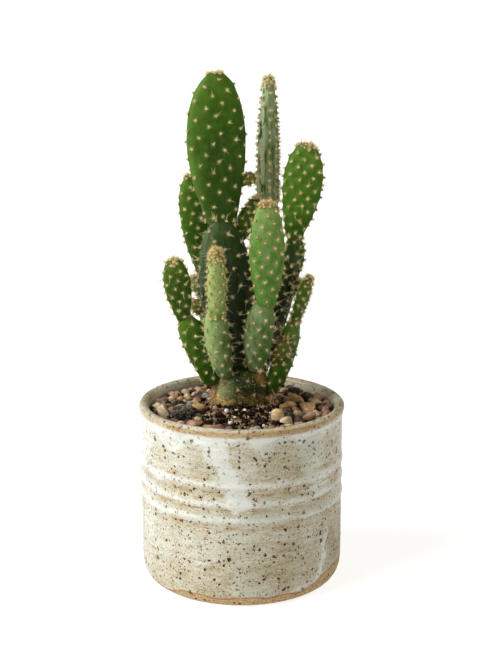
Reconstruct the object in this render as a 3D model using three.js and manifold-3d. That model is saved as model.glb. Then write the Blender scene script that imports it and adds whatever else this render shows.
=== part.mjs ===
// A potted paddle cactus: a branching prickly pear of flat green pads with golden areoles and
// spines, growing out of gritty soil and gravel in a wheel-thrown stoneware pot.
// Millimetres, +Z up. The origin is the centre of the pot's foot, on the surface it stands on.
// The side seen first is seen along +Y, with +X to the right.
import * as THREE from "three";
import { mergeVertices } from "three/addons/utils/BufferGeometryUtils.js";
import Module from "manifold-3d";

const wasm = await Module();
wasm.setup();
const { clamp, degToRad, lerp, smoothstep } = THREE.MathUtils;

// Pot
const POT_RADIUS = 70;
const POT_HEIGHT = 122;
const POT_SIDES = 40;
const WALL = 6;
const LIP_ROUND = 3.3;
const BODY_RADIUS = POT_RADIUS - 1.1;
const INNER_RADIUS = BODY_RADIUS - WALL;
const FOOT_RADIUS = 62;
const FOOT_BEVEL = 9;
const FOOT_RING = 10;
const FOOT_RECESS = 2;
const FLOOR_TOP = 8;
const DRAIN_RADIUS = 6;
// The throwing rings: how high up the wall they are, how far they stand out and how wide they are
const RING_HEIGHTS = [60.5, 71.5, 84];
const RING_RELIEF = 1;
const RING_SPREAD = 2.6;
const WALL_HEIGHTS = [34, 55.5, 60.5, 66, 71.5, 77.5, 84, 90, 114];

// Drain shard
const SHARD_LENGTH = 26;
const SHARD_RADIUS = 45;
const SHARD_THICKNESS = 4;
const SHARD_HALF_ANGLE = 0.33;

// Soil and gravel
const GAP = 0.3;
const SOIL_TOP = 112.5;
const SOIL_MOUND = 7;
const SOIL_RADIUS = INNER_RADIUS - 0.5;
const SOIL_SIDES = 30;
const CRUMBS = 18;
const GRAVEL_THICKNESS = 3.2;
const GRAVEL_DEPTH = 6;
const STONES = 54;
// The largest stones: place, length, width and the angle that the length makes with X in degrees
const LARGE_STONES = [
  [-47, 28, 7.4, 7, 10],
  [-52, 17, 6.4, 5.4, 60],
  [-42.5, 21, 6.6, 5, 0],
  [-30.5, 16.5, 6.4, 5.6, 20],
  [-35, 5.5, 6.6, 5.6, -30],
  [-44, 7, 8, 6, 10],
  [-53.5, -9, 9.4, 7.2, -50],
  [-46, -4, 5.6, 5, 0],
  [-39, -16, 13.6, 11, 15],
  [-27.5, -12, 7.6, 6, -10],
  [-44, -28, 7.4, 5.6, -40],
  [-31, -37, 10.6, 7, -20],
  [37, 12, 14.4, 8.4, -55],
  [44, -5.5, 13.4, 7.6, -35],
  [36, -17, 6.2, 5.8, 0],
  [45.5, -20.5, 10, 6.6, 15],
  [29, -22.5, 8.4, 7.6, 60],
  [23, -31.5, 10, 7.6, -45],
  [38, -29, 7.4, 5.6, 10],
  [30, -41, 9, 6, -15],
  [51.5, -27, 6.4, 5.4, 50],
  [55.5, -4.5, 6.2, 5.4, 70],
  [37, 40, 7.2, 6, 20],
  [47, 25, 7.6, 6.6, -30],
];

// Cactus
const STEM_RADIUS = 18.4;
const STEM_TOP = 148;
const STEM_SIDES = 18;
const STEM_DEPTH_SHARE = 0.94;
const STEM_NEEDLES = 14;
const NEEDLE_RADIUS = 0.75;
const NEEDLE_LENGTH = 5.5;
const NEEDLE_SUNK = 0.9;
const NEEDLE_LEAN = 0.25;
const NEEDLE_ROOM = 1.1;
const NEEDLE_APART = 1.7;
const CROWN_CROWDING = 1.6;
const GOLDEN_TURN = 0.381966;
const DEPTH_WIDEST_EARLIER = 0.08;
const DEPTH_NECK_EXTRA = 0.15;

const GREEN_OLD = 0x2f4a34;
const GREEN_GREY = 0x4f7050;
const GREEN_LEAF = 0x3c6a22;
const GREEN_YOUNG = 0x5f8f3c;
const GREEN_DRY = 0x6d6530;

// One entry for each pad, what carries it before what it carries. base and tip are the ends of
// its middle line. width lies across the flat face and depth through it. turn is how far the face
// is turned from the front, in degrees, towards +X. widest is how far up the pad is widest, neck
// its width at the base as a share of the full width, blunt how square its tip is, and bow how far
// its middle line bends sideways. every is the distance between needles, and sides and rings are
// the facets round and along it.
const PADS = [
  {
    name: "pad_centre_old", colour: GREEN_OLD,
    base: [-3.4, 0, 133], tip: [-14, 0, 244.5], width: 36.5, depth: 21, turn: 8,
    widest: 0.58, neck: 0.5, blunt: 2.2, bow: 0, every: 16, sides: 16, rings: 10,
  },
  {
    name: "pad_crown_large", colour: GREEN_LEAF,
    base: [-13, 2.6, 242.5], tip: [-16.5, 6, 339.5], width: 39.5, depth: 15, turn: 12,
    widest: 0.55, neck: 0.48, blunt: 2.1, bow: -1.6, every: 14.5, sides: 16, rings: 10,
  },
  {
    name: "pad_front_right_old", colour: GREEN_GREY,
    base: [10, -9.5, 147], tip: [14.5, -22, 194], width: 19.6, depth: 15.5, turn: -5,
    widest: 0.5, neck: 0.6, blunt: 2.6, bow: -1, every: 14, sides: 12, rings: 7,
  },
  {
    name: "pad_front_right_young", colour: GREEN_YOUNG,
    base: [16, -22, 192], tip: [16.5, -20, 259], width: 23, depth: 13, turn: 5,
    widest: 0.52, neck: 0.5, blunt: 2.1, bow: 0, every: 11.5, sides: 14, rings: 8,
  },
  {
    name: "pad_front_left_old", colour: GREEN_GREY,
    base: [-11.2, -11, 142.5], tip: [-17.5, -24, 189], width: 16.6, depth: 14, turn: -20,
    widest: 0.5, neck: 0.6, blunt: 3, bow: -1, every: 13, sides: 12, rings: 7,
  },
  {
    name: "pad_front_left_young", colour: GREEN_YOUNG,
    base: [-16, -22, 183.5], tip: [-16.2, -26, 230], width: 14, depth: 10.8, turn: 72,
    widest: 0.5, neck: 0.8, blunt: 2, bow: 0, every: 10.5, sides: 12, rings: 7,
  },
  {
    name: "pad_left_lower", colour: GREEN_LEAF,
    base: [-19.2, -8, 137], tip: [-38, -12, 182], width: 19, depth: 12, turn: 10,
    widest: 0.54, neck: 0.6, blunt: 2.4, bow: 1, every: 13, sides: 12, rings: 7,
  },
  {
    name: "pad_left_upper", colour: GREEN_LEAF,
    base: [-38, -12, 180], tip: [-44.5, -16, 221.5], width: 17.6, depth: 10.5, turn: 10,
    widest: 0.58, neck: 0.45, blunt: 2.2, bow: 0, every: 10.5, sides: 12, rings: 7,
  },
  {
    name: "pad_rear_left_lower", colour: GREEN_GREY,
    base: [-10, 13.5, 131], tip: [-24, 22, 202], width: 20, depth: 14, turn: 20,
    widest: 0.6, neck: 0.5, blunt: 2.4, bow: 0, every: 15, sides: 12, rings: 7,
  },
  {
    name: "pad_rear_left_upper", colour: GREEN_LEAF,
    base: [-23.5, 22, 201], tip: [-34.5, 26, 271.5], width: 22, depth: 12, turn: 5,
    widest: 0.6, neck: 0.45, blunt: 2.1, bow: -0.5, every: 12.5, sides: 14, rings: 8,
  },
  {
    name: "pad_rear_lower", colour: GREEN_OLD,
    base: [7, 14, 133], tip: [16.5, 24, 230], width: 24, depth: 15, turn: 30,
    widest: 0.6, neck: 0.5, blunt: 2.4, bow: 0, every: 16, sides: 14, rings: 8,
  },
  {
    name: "pad_rear_tall", colour: GREEN_GREY,
    base: [17.6, 24, 230], tip: [18, 28, 336], width: 24.5, depth: 11.4, turn: 70,
    widest: 0.35, neck: 0.86, blunt: 1.8, bow: 0, every: 13.5, sides: 14, rings: 9,
  },
  {
    name: "pad_right_stem", colour: GREEN_OLD,
    base: [9.5, 4, 134], tip: [35, 6, 233], width: 20, depth: 11.5, turn: 42,
    widest: 0.54, neck: 0.5, blunt: 2.4, bow: 2.4, every: 15, sides: 12, rings: 8,
  },
  {
    name: "pad_right_crown", colour: GREEN_LEAF,
    base: [34.5, 4, 232], tip: [43, 10, 293], width: 25.6, depth: 11, turn: -5,
    widest: 0.6, neck: 0.38, blunt: 2.15, bow: 0.8, every: 11, sides: 14, rings: 8,
  },
  {
    name: "pad_right_lower", colour: GREEN_OLD,
    base: [20.8, -3.5, 130], tip: [35.6, -6, 180], width: 17.6, depth: 10.5, turn: 48,
    widest: 0.44, neck: 0.72, blunt: 2.3, bow: 1.4, every: 13, sides: 12, rings: 7,
  },
  {
    name: "pad_right_upper", colour: GREEN_LEAF,
    base: [35.4, -6, 177], tip: [44.8, -6, 208], width: 13.5, depth: 8, turn: 75,
    widest: 0.6, neck: 0.7, blunt: 2.4, bow: 0, every: 10, sides: 10, rings: 6,
  },
  {
    name: "bud_right_stem", colour: GREEN_LEAF,
    base: [34.5, 13, 203], tip: [37.5, 16, 230], width: 12.5, depth: 8, turn: 0,
    widest: 0.55, neck: 0.5, blunt: 2.3, bow: 0, every: 10, sides: 10, rings: 5,
  },
  {
    name: "bud_right_small", colour: GREEN_LEAF,
    base: [32.5, 6, 194.5], tip: [40.5, 6, 201.5], width: 8, depth: 7.5, turn: 0,
    widest: 0.5, neck: 0.6, blunt: 2.2, bow: 0, every: 7, sides: 8, rings: 5,
  },
  {
    name: "bud_right_dry", colour: GREEN_DRY,
    base: [22.5, -8, 149], tip: [29, -12, 168], width: 10.5, depth: 9.5, turn: 0,
    widest: 0.5, neck: 0.5, blunt: 2.3, bow: 0, every: 8.5, sides: 8, rings: 5,
  },
  {
    name: "bud_left_upper", colour: GREEN_LEAF,
    base: [-26, 16, 190], tip: [-32.5, 17, 203.5], width: 8.5, depth: 8, turn: 0,
    widest: 0.5, neck: 0.6, blunt: 2.3, bow: 0, every: 7, sides: 8, rings: 5,
  },
  {
    name: "bud_left_lower", colour: GREEN_OLD,
    base: [-22.5, 13.5, 179], tip: [-34, 12, 186.5], width: 9.5, depth: 9, turn: 0,
    widest: 0.5, neck: 0.6, blunt: 2.3, bow: 0, every: 7, sides: 8, rings: 5,
  },
  {
    name: "bud_crown_edge", colour: GREEN_LEAF,
    base: [-0.5, 7, 268.5], tip: [9, 9, 272], width: 8, depth: 7.4, turn: 0,
    widest: 0.55, neck: 0.6, blunt: 2.3, bow: 0, every: 7, sides: 8, rings: 5,
  },
  {
    name: "bud_shoulder_lower", colour: GREEN_LEAF,
    base: [-3, 5.5, 229], tip: [8, 12, 252], width: 13, depth: 9, turn: 10,
    widest: 0.6, neck: 0.5, blunt: 2.3, bow: 0, every: 8.5, sides: 10, rings: 6,
  },
  {
    name: "bud_shoulder_upper", colour: GREEN_LEAF,
    base: [5, 11.5, 246], tip: [11, 14, 256.5], width: 10, depth: 8, turn: 0,
    widest: 0.5, neck: 0.6, blunt: 2.3, bow: 0, every: 7.5, sides: 8, rings: 5,
  },
];

// Draws the same numbers from 0 to 1 on every run.
function seeded(seed) {
  let state = seed;
  return () => {
    state = (state * 1664525 + 1013904223) % 4294967296;
    return state / 4294967296;
  };
}

// A closed three.js geometry as a solid.
function solidOf(geometry) {
  const bare = geometry.clone();
  for (const name of Object.keys(bare.attributes)) {
    if (name !== "position") bare.deleteAttribute(name);
  }
  const merged = mergeVertices(bare, 1e-3);
  return new wasm.Manifold(
    new wasm.Mesh({
      numProp: 3,
      vertProperties: merged.attributes.position.array,
      triVerts: new Uint32Array(merged.index.array),
    }),
  );
}

// A solid as a three.js geometry with flat faces.
function geometryOf(solid) {
  const mesh = solid.getMesh();
  const geometry = new THREE.BufferGeometry();
  geometry.setAttribute("position", new THREE.BufferAttribute(mesh.vertProperties, 3));
  geometry.setIndex(new THREE.BufferAttribute(mesh.triVerts, 1));
  geometry.computeVertexNormals();
  return geometry;
}

// The main body of a solid, with its corners rounded to a thousandth of a millimetre and without
// the scraps that cuts leave.
function mainBody(solid) {
  const bodies = solidOf(geometryOf(solid)).decompose();
  return bodies.reduce((best, body) => (body.volume() > best.volume() ? body : best));
}

function meshOf(name, geometry, colour, roughness) {
  const material = new THREE.MeshStandardMaterial({ color: colour, roughness, metalness: 0 });
  const mesh = new THREE.Mesh(geometry, material);
  mesh.name = name;
  return mesh;
}

// A turned body: points are [radius, height] pairs, and the height becomes Z.
function turned(points, sides) {
  const profile = points.map(([radius, height]) => new THREE.Vector2(radius, height));
  return new THREE.LatheGeometry(profile, sides).rotateX(Math.PI / 2);
}

// How far the throwing rings stand out of the pot's wall at a height.
function ringRelief(height) {
  return RING_HEIGHTS.reduce((sum, ring) => {
    const away = (height - ring) / RING_SPREAD;
    return sum + RING_RELIEF * Math.exp(-away * away);
  }, 0);
}

// The pot's outline, from the drain hole out under the foot, up the wall, over the lip and back
// down inside to the floor.
function potOutline() {
  const outline = [
    [DRAIN_RADIUS, FOOT_RECESS],
    [FOOT_RADIUS - FOOT_RING - FOOT_RECESS, FOOT_RECESS],
    [FOOT_RADIUS - FOOT_RING, 0],
    [FOOT_RADIUS, 0],
    [FOOT_RADIUS + 3.6, 2.8],
    [BODY_RADIUS - 1, FOOT_BEVEL - 2],
    [BODY_RADIUS - 0.2, FOOT_BEVEL + 4],
  ];
  for (const height of WALL_HEIGHTS) {
    outline.push([BODY_RADIUS - 0.4 + ringRelief(height), height]);
  }
  const lipSteps = 5;
  for (let step = 0; step <= lipSteps; step++) {
    const angle = (Math.PI * step) / lipSteps;
    const radius = POT_RADIUS - LIP_ROUND + LIP_ROUND * Math.cos(angle);
    outline.push([radius, POT_HEIGHT - LIP_ROUND + LIP_ROUND * Math.sin(angle)]);
  }
  outline.push([INNER_RADIUS, POT_HEIGHT - 9]);
  outline.push([INNER_RADIUS, FLOOR_TOP + 6]);
  outline.push([INNER_RADIUS - 5, FLOOR_TOP]);
  outline.push([DRAIN_RADIUS, FLOOR_TOP]);
  outline.push(outline[0]);
  return outline;
}

function makePot() {
  return meshOf("pot", turned(potOutline(), POT_SIDES), 0xd9d2c2, 0.35);
}

// The section of a curved potsherd. grow thickens it, and filled closes the arch under it.
function shardShape(grow, filled) {
  const steps = 8;
  const outer = SHARD_RADIUS + grow;
  const inner = SHARD_RADIUS - SHARD_THICKNESS - grow;
  const half = SHARD_HALF_ANGLE + grow / SHARD_RADIUS;
  const foot = inner * Math.cos(half);
  const onArc = (radius, step) => {
    const angle = Math.PI / 2 - half + (2 * half * step) / steps;
    return new THREE.Vector2(radius * Math.cos(angle), radius * Math.sin(angle) - foot);
  };
  const all = Array.from({ length: steps + 1 }, (_, step) => step);
  const under = filled ? [0, steps] : all;
  const points = all.map((step) => onArc(outer, step));
  points.push(...under.reverse().map((step) => onArc(inner, step)));
  return new THREE.Shape(points);
}

// The broken piece of a pot laid over the drain hole, hollow side down, so that water runs out
// under it and the soil stays in.
function shardGeometry(grow = 0, filled = false) {
  const length = SHARD_LENGTH + 2 * grow;
  return new THREE.ExtrudeGeometry(shardShape(grow, filled), { depth: length, bevelEnabled: false })
    .translate(0, 0, -length / 2)
    .rotateX(Math.PI / 2)
    .translate(0, 0, filled ? FLOOR_TOP : FLOOR_TOP + GAP);
}

function makeShard() {
  return meshOf("drain_shard", shardGeometry(), 0xa8643c, 0.85);
}

// 1 straight in front of the stem, where the soil lies open, and 0 at the sides and the back.
function openness(angle) {
  const fromFront = Math.abs(THREE.MathUtils.euclideanModulo(angle - Math.PI / 2, 2 * Math.PI) - Math.PI);
  return 1 - smoothstep(fromFront, 0.45, 1.05);
}

// How far in from the wall the gravel reaches: nearly to the stem at the sides and the back, and
// only a narrow strip at the front.
function gravelReach(angle) {
  return lerp(27, 53, openness(angle));
}

// The soil surface: a mound that falls away from the stem, with shallow hollows.
function soilHeight(x, y) {
  const reach = lerp(38, SOIL_RADIUS, openness(Math.atan2(y, x)));
  const mound = 1 - smoothstep(Math.hypot(x, y), STEM_RADIUS, reach);
  const hollows = Math.sin(x * 0.31 + 1.3) * Math.cos(y * 0.27 - 0.6) + 0.6 * Math.sin(x * 0.19 - y * 0.43);
  return SOIL_TOP + SOIL_MOUND * mound + 0.6 * hollows;
}

// The soil as a turned plug that fills the pot, with a rolling top.
function soilPlug() {
  const outline = [
    [0, FLOOR_TOP + GAP],
    [INNER_RADIUS - 6, FLOOR_TOP + GAP],
    [SOIL_RADIUS, FLOOR_TOP + 7],
    [SOIL_RADIUS, SOIL_TOP - 4],
  ];
  for (const radius of [SOIL_RADIUS, 54, 45, 36, 28, 21, 0]) outline.push([radius, SOIL_TOP]);
  const geometry = turned(outline, SOIL_SIDES);
  const position = geometry.attributes.position;
  for (let i = 0; i < position.count; i++) {
    if (position.getZ(i) < SOIL_TOP - 1) continue;
    position.setZ(i, soilHeight(position.getX(i), position.getY(i)));
  }
  return solidOf(geometry);
}

// The stem: a tap root in the soil, a stout barrel above it and a round shoulder that carries the
// pads. grow makes the hole that it stands in.
function stemGeometry(grow = 0) {
  const outline = [
    [0, 74 - grow],
    [3 + grow, 75],
    [6 + grow, 84],
    [11 + grow, 94],
    [STEM_RADIUS - 3 + grow, 104],
    [STEM_RADIUS - 1.4 + grow, 113],
    [STEM_RADIUS - 0.4 + grow, 120],
    [STEM_RADIUS + 0.2 + grow, 127],
    [STEM_RADIUS + 0.2 + grow, 133],
    [STEM_RADIUS - 0.4 + grow, 138],
    [STEM_RADIUS - 2.8 + grow, 142.5],
    [STEM_RADIUS - 7.6 + grow, 146],
    [0, STEM_TOP + grow],
  ];
  const geometry = turned(outline, STEM_SIDES);
  const position = geometry.attributes.position;
  for (let i = 0; i < position.count; i++) {
    const around = Math.atan2(position.getY(i), position.getX(i));
    const swell = 1 + 0.035 * Math.sin(3 * around + 0.6) * Math.sin(position.getZ(i) * 0.08);
    position.setX(i, position.getX(i) * swell);
    position.setY(i, position.getY(i) * swell * STEM_DEPTH_SHARE);
  }
  return geometry;
}

// How full a pad is at t along its middle line, from 0 at the joint to 1 at the tip. Below the
// joint it closes in a round cap that is sunk in what carries it.
function fullness(t, widest, neck, blunt, cap) {
  if (t < 0) return neck * Math.sqrt(Math.max(0, 1 - (t / cap) ** 2));
  if (t < widest) return neck + (1 - neck) * Math.sin((Math.PI / 2) * (t / widest));
  const past = Math.min(1, (t - widest) / (1 - widest));
  return (1 - past ** blunt) ** (1 / blunt);
}

// One pad: its middle line, its own axes and the oval section along it.
class Pad {
  constructor(sizes) {
    Object.assign(this, sizes);
    this.base = new THREE.Vector3(...sizes.base);
    this.tip = new THREE.Vector3(...sizes.tip);
    this.length = this.base.distanceTo(this.tip);
    this.along = this.tip.clone().sub(this.base).normalize();
    const front = new THREE.Vector3(0, -1, 0);
    front.addScaledVector(this.along, -front.dot(this.along)).normalize();
    this.face = front.applyAxisAngle(this.along, degToRad(this.turn));
    this.across = this.along.clone().cross(this.face);
    this.cap = (0.4 * this.width * this.neck) / this.length;
  }

  halfWidth(t) {
    return 0.5 * this.width * fullness(t, this.widest, this.neck, this.blunt, this.cap);
  }

  halfDepth(t) {
    const widest = this.widest - DEPTH_WIDEST_EARLIER;
    const neck = Math.min(1, this.neck + DEPTH_NECK_EXTRA);
    return 0.5 * this.depth * fullness(t, widest, neck, 2, this.cap);
  }

  middle(t) {
    const bend = t > 0 ? 4 * t * (1 - t) * this.bow : 0;
    return this.base.clone().addScaledVector(this.along, t * this.length).addScaledVector(this.across, bend);
  }

  // The skin at t along and angle round, moved out by grow.
  point(t, angle, grow = 0) {
    return this.middle(t)
      .addScaledVector(this.across, (this.halfWidth(t) + grow) * Math.cos(angle))
      .addScaledVector(this.face, (this.halfDepth(t) + grow) * Math.sin(angle));
  }

  outward(t, angle) {
    const step = 0.01;
    const up = this.point(Math.min(0.995, t + step), angle).sub(this.point(t - step, angle));
    const round = this.point(t, angle + step).sub(this.point(t, angle - step));
    return up.cross(round).normalize();
  }

  // True where a place lies in the pad or within grow of it.
  holds(place, grow) {
    const t = place.clone().sub(this.base).dot(this.along) / this.length;
    const slack = grow / this.length;
    if (t < -this.cap - slack || t > 1 + slack) return false;
    const from = place.clone().sub(this.middle(t));
    const acrossShare = from.dot(this.across) / (this.halfWidth(t) + grow);
    const faceShare = from.dot(this.face) / (this.halfDepth(t) + grow);
    return acrossShare ** 2 + faceShare ** 2 < 1;
  }

  // A sphere's grid pulled into the pad's form, grown by grow all over.
  body(grow = 0) {
    const geometry = new THREE.SphereGeometry(1, this.sides, this.rings);
    const position = geometry.attributes.position;
    const low = -this.cap - grow / this.length;
    const high = 1 + grow / this.length;
    for (let i = 0; i < position.count; i++) {
      const share = 0.5 + 0.5 * position.getY(i);
      const t = lerp(low, high, share);
      const onSkin = clamp(t, -0.98 * this.cap, 0.998);
      const angle = Math.atan2(position.getZ(i), position.getX(i));
      const isEnd = share < 1e-4 || share > 1 - 1e-4;
      const place = isEnd ? this.middle(onSkin) : this.point(onSkin, angle, grow);
      place.addScaledVector(this.along, (t - onSkin) * this.length);
      position.setXYZ(i, place.x, place.y, place.z);
    }
    return solidOf(geometry);
  }

  // The length of the oval edge up to each of a number of equal steps in angle.
  edgeLengths(t, steps) {
    const lengths = [0];
    for (let step = 0; step < steps; step++) {
      const angle = (2 * Math.PI * (step + 0.5)) / steps;
      const edge = Math.hypot(this.halfWidth(t) * Math.sin(angle), this.halfDepth(t) * Math.cos(angle));
      lengths.push(lengths[step] + (edge * 2 * Math.PI) / steps);
    }
    return lengths;
  }

  // The angle at a share of the way round the oval, measured along its edge.
  angleAt(t, share) {
    const steps = 48;
    const lengths = this.edgeLengths(t, steps);
    const wanted = share * lengths[steps];
    const after = Math.max(1, lengths.findIndex((length) => length >= wanted));
    const part = (wanted - lengths[after - 1]) / (lengths[after] - lengths[after - 1]);
    return (2 * Math.PI * (after - 1 + part)) / steps;
  }

  // Where the needles stand, as [t, angle] pairs: one at the tip, and then a spiral of golden
  // turns up the pad, one to each patch of skin, with the patches smaller towards the tip.
  needlePlaces() {
    const places = [[0.99, Math.PI / 2]];
    const steps = 200;
    const patch = this.every ** 2;
    let area = patch / 2;
    for (let step = 0; step < steps; step++) {
      const t = (step + 0.5) / steps;
      const girth = this.edgeLengths(t, 12)[12];
      const crowding = 1 + CROWN_CROWDING * smoothstep(t, 0.8, 1);
      area += (girth * this.length * crowding) / steps;
      while (area > patch) {
        area -= patch;
        places.push([t, this.angleAt(t, (places.length * GOLDEN_TURN) % 1)]);
      }
    }
    return places;
  }
}

// A three-sided needle with its root sunk under the skin.
function needle(foot, direction) {
  const total = NEEDLE_LENGTH + NEEDLE_SUNK;
  const turn = new THREE.Quaternion().setFromUnitVectors(new THREE.Vector3(0, 1, 0), direction);
  const cone = new THREE.ConeGeometry(NEEDLE_RADIUS, total, 3)
    .translate(0, total / 2 - NEEDLE_SUNK, 0)
    .applyQuaternion(turn)
    .translate(foot.x, foot.y, foot.z);
  return solidOf(cone);
}

const pads = PADS.map((sizes) => new Pad(sizes));
const stemHole = solidOf(stemGeometry(GAP));
const plug = soilPlug();
const standing = [];

// True where a place lies in the stem or close to it.
function isNearStem(place) {
  return place.z < STEM_TOP + NEEDLE_ROOM && Math.hypot(place.x, place.y) < STEM_RADIUS + NEEDLE_ROOM;
}

// True where a needle from foot to point, with its root, would come near another pad, the stem,
// the soil or a needle that already stands.
function isCrossed(own, foot, point) {
  const along = [-0.15, 0.05, 0.25, 0.5, 0.75, 1].map((share) => foot.clone().lerp(point, share));
  const isNearPad = (place) => pads.some((pad) => pad !== own && pad.holds(place, NEEDLE_ROOM));
  const isNearNeedle = (place) => standing.some((other) => other.distanceTo(place) < NEEDLE_APART);
  if (point.z < SOIL_TOP + SOIL_MOUND + 2) return true;
  return along.some((place) => isNearPad(place) || isNearNeedle(place) || (own && isNearStem(place)));
}

// A body with its needles, each left out where something stands in its way.
function withNeedles(body, own, places) {
  let solid = body;
  for (const { foot, direction } of places) {
    const point = foot.clone().addScaledVector(direction, NEEDLE_LENGTH);
    if (isCrossed(own, foot, point)) continue;
    for (const share of [0.2, 0.6, 1]) standing.push(foot.clone().lerp(point, share));
    solid = solid.add(needle(foot, direction));
  }
  return geometryOf(mainBody(solid));
}

// The stem with its root, and a few needles above the soil.
function makeStem() {
  const places = [];
  for (let count = 0; count < STEM_NEEDLES; count++) {
    const angle = 2 * Math.PI * ((count * GOLDEN_TURN) % 1);
    const height = 121.5 + (count * 11) / STEM_NEEDLES;
    const out = new THREE.Vector3(Math.cos(angle), Math.sin(angle) * STEM_DEPTH_SHARE, 0);
    const foot = out.clone().multiplyScalar(STEM_RADIUS - 0.3).setZ(height);
    places.push({ foot, direction: out.setZ(NEEDLE_LEAN).normalize() });
  }
  return meshOf("stem_and_root", withNeedles(solidOf(stemGeometry()), null, places), 0x55684a, 0.7);
}

// A pad shaped at its joint to what carries it, with its needles. earlier holds the grown bodies
// of the pads before it.
function makePad(pad, earlier) {
  const body = earlier.reduce((left, other) => left.subtract(other), pad.body().subtract(stemHole));
  const places = pad.needlePlaces().map(([t, angle]) => ({
    foot: pad.point(t, angle),
    direction: pad.outward(t, angle).addScaledVector(pad.along, NEEDLE_LEAN).normalize(),
  }));
  return meshOf(pad.name, withNeedles(body, pad, places), pad.colour, 0.5);
}

// The soil, with crumbs and grains standing out of it in front of the stem.
function makeSoil() {
  const draw = seeded(11);
  let solid = plug;
  for (let count = 0; count < CRUMBS; count++) {
    const angle = -Math.PI / 2 + (draw() - 0.5) * 1.5;
    const size = 1.4 + 1.2 * draw();
    const radius = lerp(STEM_RADIUS + 4, gravelReach(angle) - 6, draw());
    const x = radius * Math.cos(angle);
    const y = radius * Math.sin(angle);
    const crumb = new THREE.IcosahedronGeometry(size, 0)
      .rotateZ(draw() * Math.PI)
      .rotateX(draw() * Math.PI)
      .translate(x, y, soilHeight(x, y) + 0.2 * size);
    solid = solid.add(solidOf(crumb));
  }
  solid = solid.subtract(stemHole).subtract(solidOf(shardGeometry(GAP, true)));
  return meshOf("soil", geometryOf(mainBody(solid)), 0x33271f, 0.95);
}

// The bed of small gravel that the stones lie in.
function gravelBed() {
  const bottom = SOIL_TOP - GRAVEL_DEPTH;
  const shares = [0.02, 0.34, 0.67, 1];
  const under = shares.map((share) => [share, bottom]);
  const over = shares.map((share) => [share, SOIL_TOP]).reverse();
  const bed = turned([...under, ...over, under[0]], SOIL_SIDES);
  const position = bed.attributes.position;
  for (let i = 0; i < position.count; i++) {
    const angle = Math.atan2(position.getY(i), position.getX(i));
    const share = Math.hypot(position.getX(i), position.getY(i));
    const radius = lerp(gravelReach(angle) + 1.5 * Math.sin(5 * angle), SOIL_RADIUS, share);
    const x = radius * Math.cos(angle);
    const y = radius * Math.sin(angle);
    const top = soilHeight(x, y) + GRAVEL_THICKNESS * lerp(0.35, 1, share);
    position.setXYZ(i, x, y, position.getZ(i) > bottom + 1 ? top : bottom);
  }
  return solidOf(bed);
}

// The places of the smaller stones, drawn so that they keep clear of the large ones and of each
// other.
function stonePlaces() {
  const draw = seeded(5);
  const places = LARGE_STONES.map((stone) => [...stone]);
  while (places.length < STONES) {
    const angle = 2 * Math.PI * draw();
    const size = 5.6 + 3 * draw();
    const radius = lerp(gravelReach(angle) + size / 2, SOIL_RADIUS - size / 2, Math.sqrt(draw()));
    const x = radius * Math.cos(angle);
    const y = radius * Math.sin(angle);
    const isClear = places.every((other) => {
      const apart = Math.hypot(other[0] - x, other[1] - y);
      return apart > 0.45 * (other[2] + size);
    });
    if (isClear) places.push([x, y, size * (1 + 0.3 * draw()), size, 180 * draw()]);
  }
  return places;
}

// The gravel: rounded stones in a loose ring, sunk in the bed that they cover.
function makeGravel() {
  let solid = gravelBed();
  for (const [x, y, length, width, spin] of stonePlaces()) {
    const stone = new THREE.IcosahedronGeometry(1, length > 12 ? 1 : 0)
      .rotateX(x)
      .scale(length / 1.9, width / 1.9, width / 2.3)
      .rotateZ(degToRad(spin))
      .translate(x, y, soilHeight(x, y) + GRAVEL_THICKNESS * 0.8);
    solid = solid.add(solidOf(stone));
  }
  const wall = SOIL_RADIUS - 0.1;
  const top = POT_HEIGHT + 10;
  const room = turned([[0, 0], [wall, 0], [wall, top], [0, top]], SOIL_SIDES);
  solid = solid.intersect(solidOf(room)).subtract(stemHole).subtract(plug.translate([0, 0, GAP]));
  return meshOf("gravel", geometryOf(mainBody(solid)), 0x9a8468, 0.85);
}

const cactus = new THREE.Group();
cactus.add(makeStem());
const grownPads = pads.map((pad) => pad.body(GAP));
pads.forEach((pad, index) => cactus.add(makePad(pad, grownPads.slice(0, index))));

const pottedCactus = new THREE.Group();
pottedCactus.add(makePot(), makeShard(), makeSoil(), makeGravel(), cactus);

export default pottedCactus;
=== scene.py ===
"""A potted paddle cactus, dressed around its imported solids.

A branching prickly pear grows out of gritty soil and a ring of pebbles in a wheel-thrown
stoneware pot. Lengths are millimetres, +Z is up, and the side seen first faces -Y. A finished
piece is brought to metres when it is put in place.
"""

import logging
import math
from dataclasses import dataclass, field
from enum import Enum
from random import Random
from typing import Any, Sequence

import bpy
import numpy as np
from mathutils import Matrix, Vector, noise


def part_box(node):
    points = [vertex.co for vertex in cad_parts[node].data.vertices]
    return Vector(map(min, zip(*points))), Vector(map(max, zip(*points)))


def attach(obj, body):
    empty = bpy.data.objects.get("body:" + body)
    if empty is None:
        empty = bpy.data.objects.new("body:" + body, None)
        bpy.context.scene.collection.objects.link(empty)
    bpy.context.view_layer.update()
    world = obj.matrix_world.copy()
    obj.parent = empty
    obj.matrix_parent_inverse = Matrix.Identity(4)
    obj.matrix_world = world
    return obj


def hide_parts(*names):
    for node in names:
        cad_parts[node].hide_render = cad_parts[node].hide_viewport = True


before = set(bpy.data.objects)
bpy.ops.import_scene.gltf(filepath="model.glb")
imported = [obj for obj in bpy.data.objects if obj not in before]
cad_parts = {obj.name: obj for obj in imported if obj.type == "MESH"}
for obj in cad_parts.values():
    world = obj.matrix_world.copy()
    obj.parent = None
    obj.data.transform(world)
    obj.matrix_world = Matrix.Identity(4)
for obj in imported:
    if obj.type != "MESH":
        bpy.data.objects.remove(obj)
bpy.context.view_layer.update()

log = logging.getLogger("potted_cactus")

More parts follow.
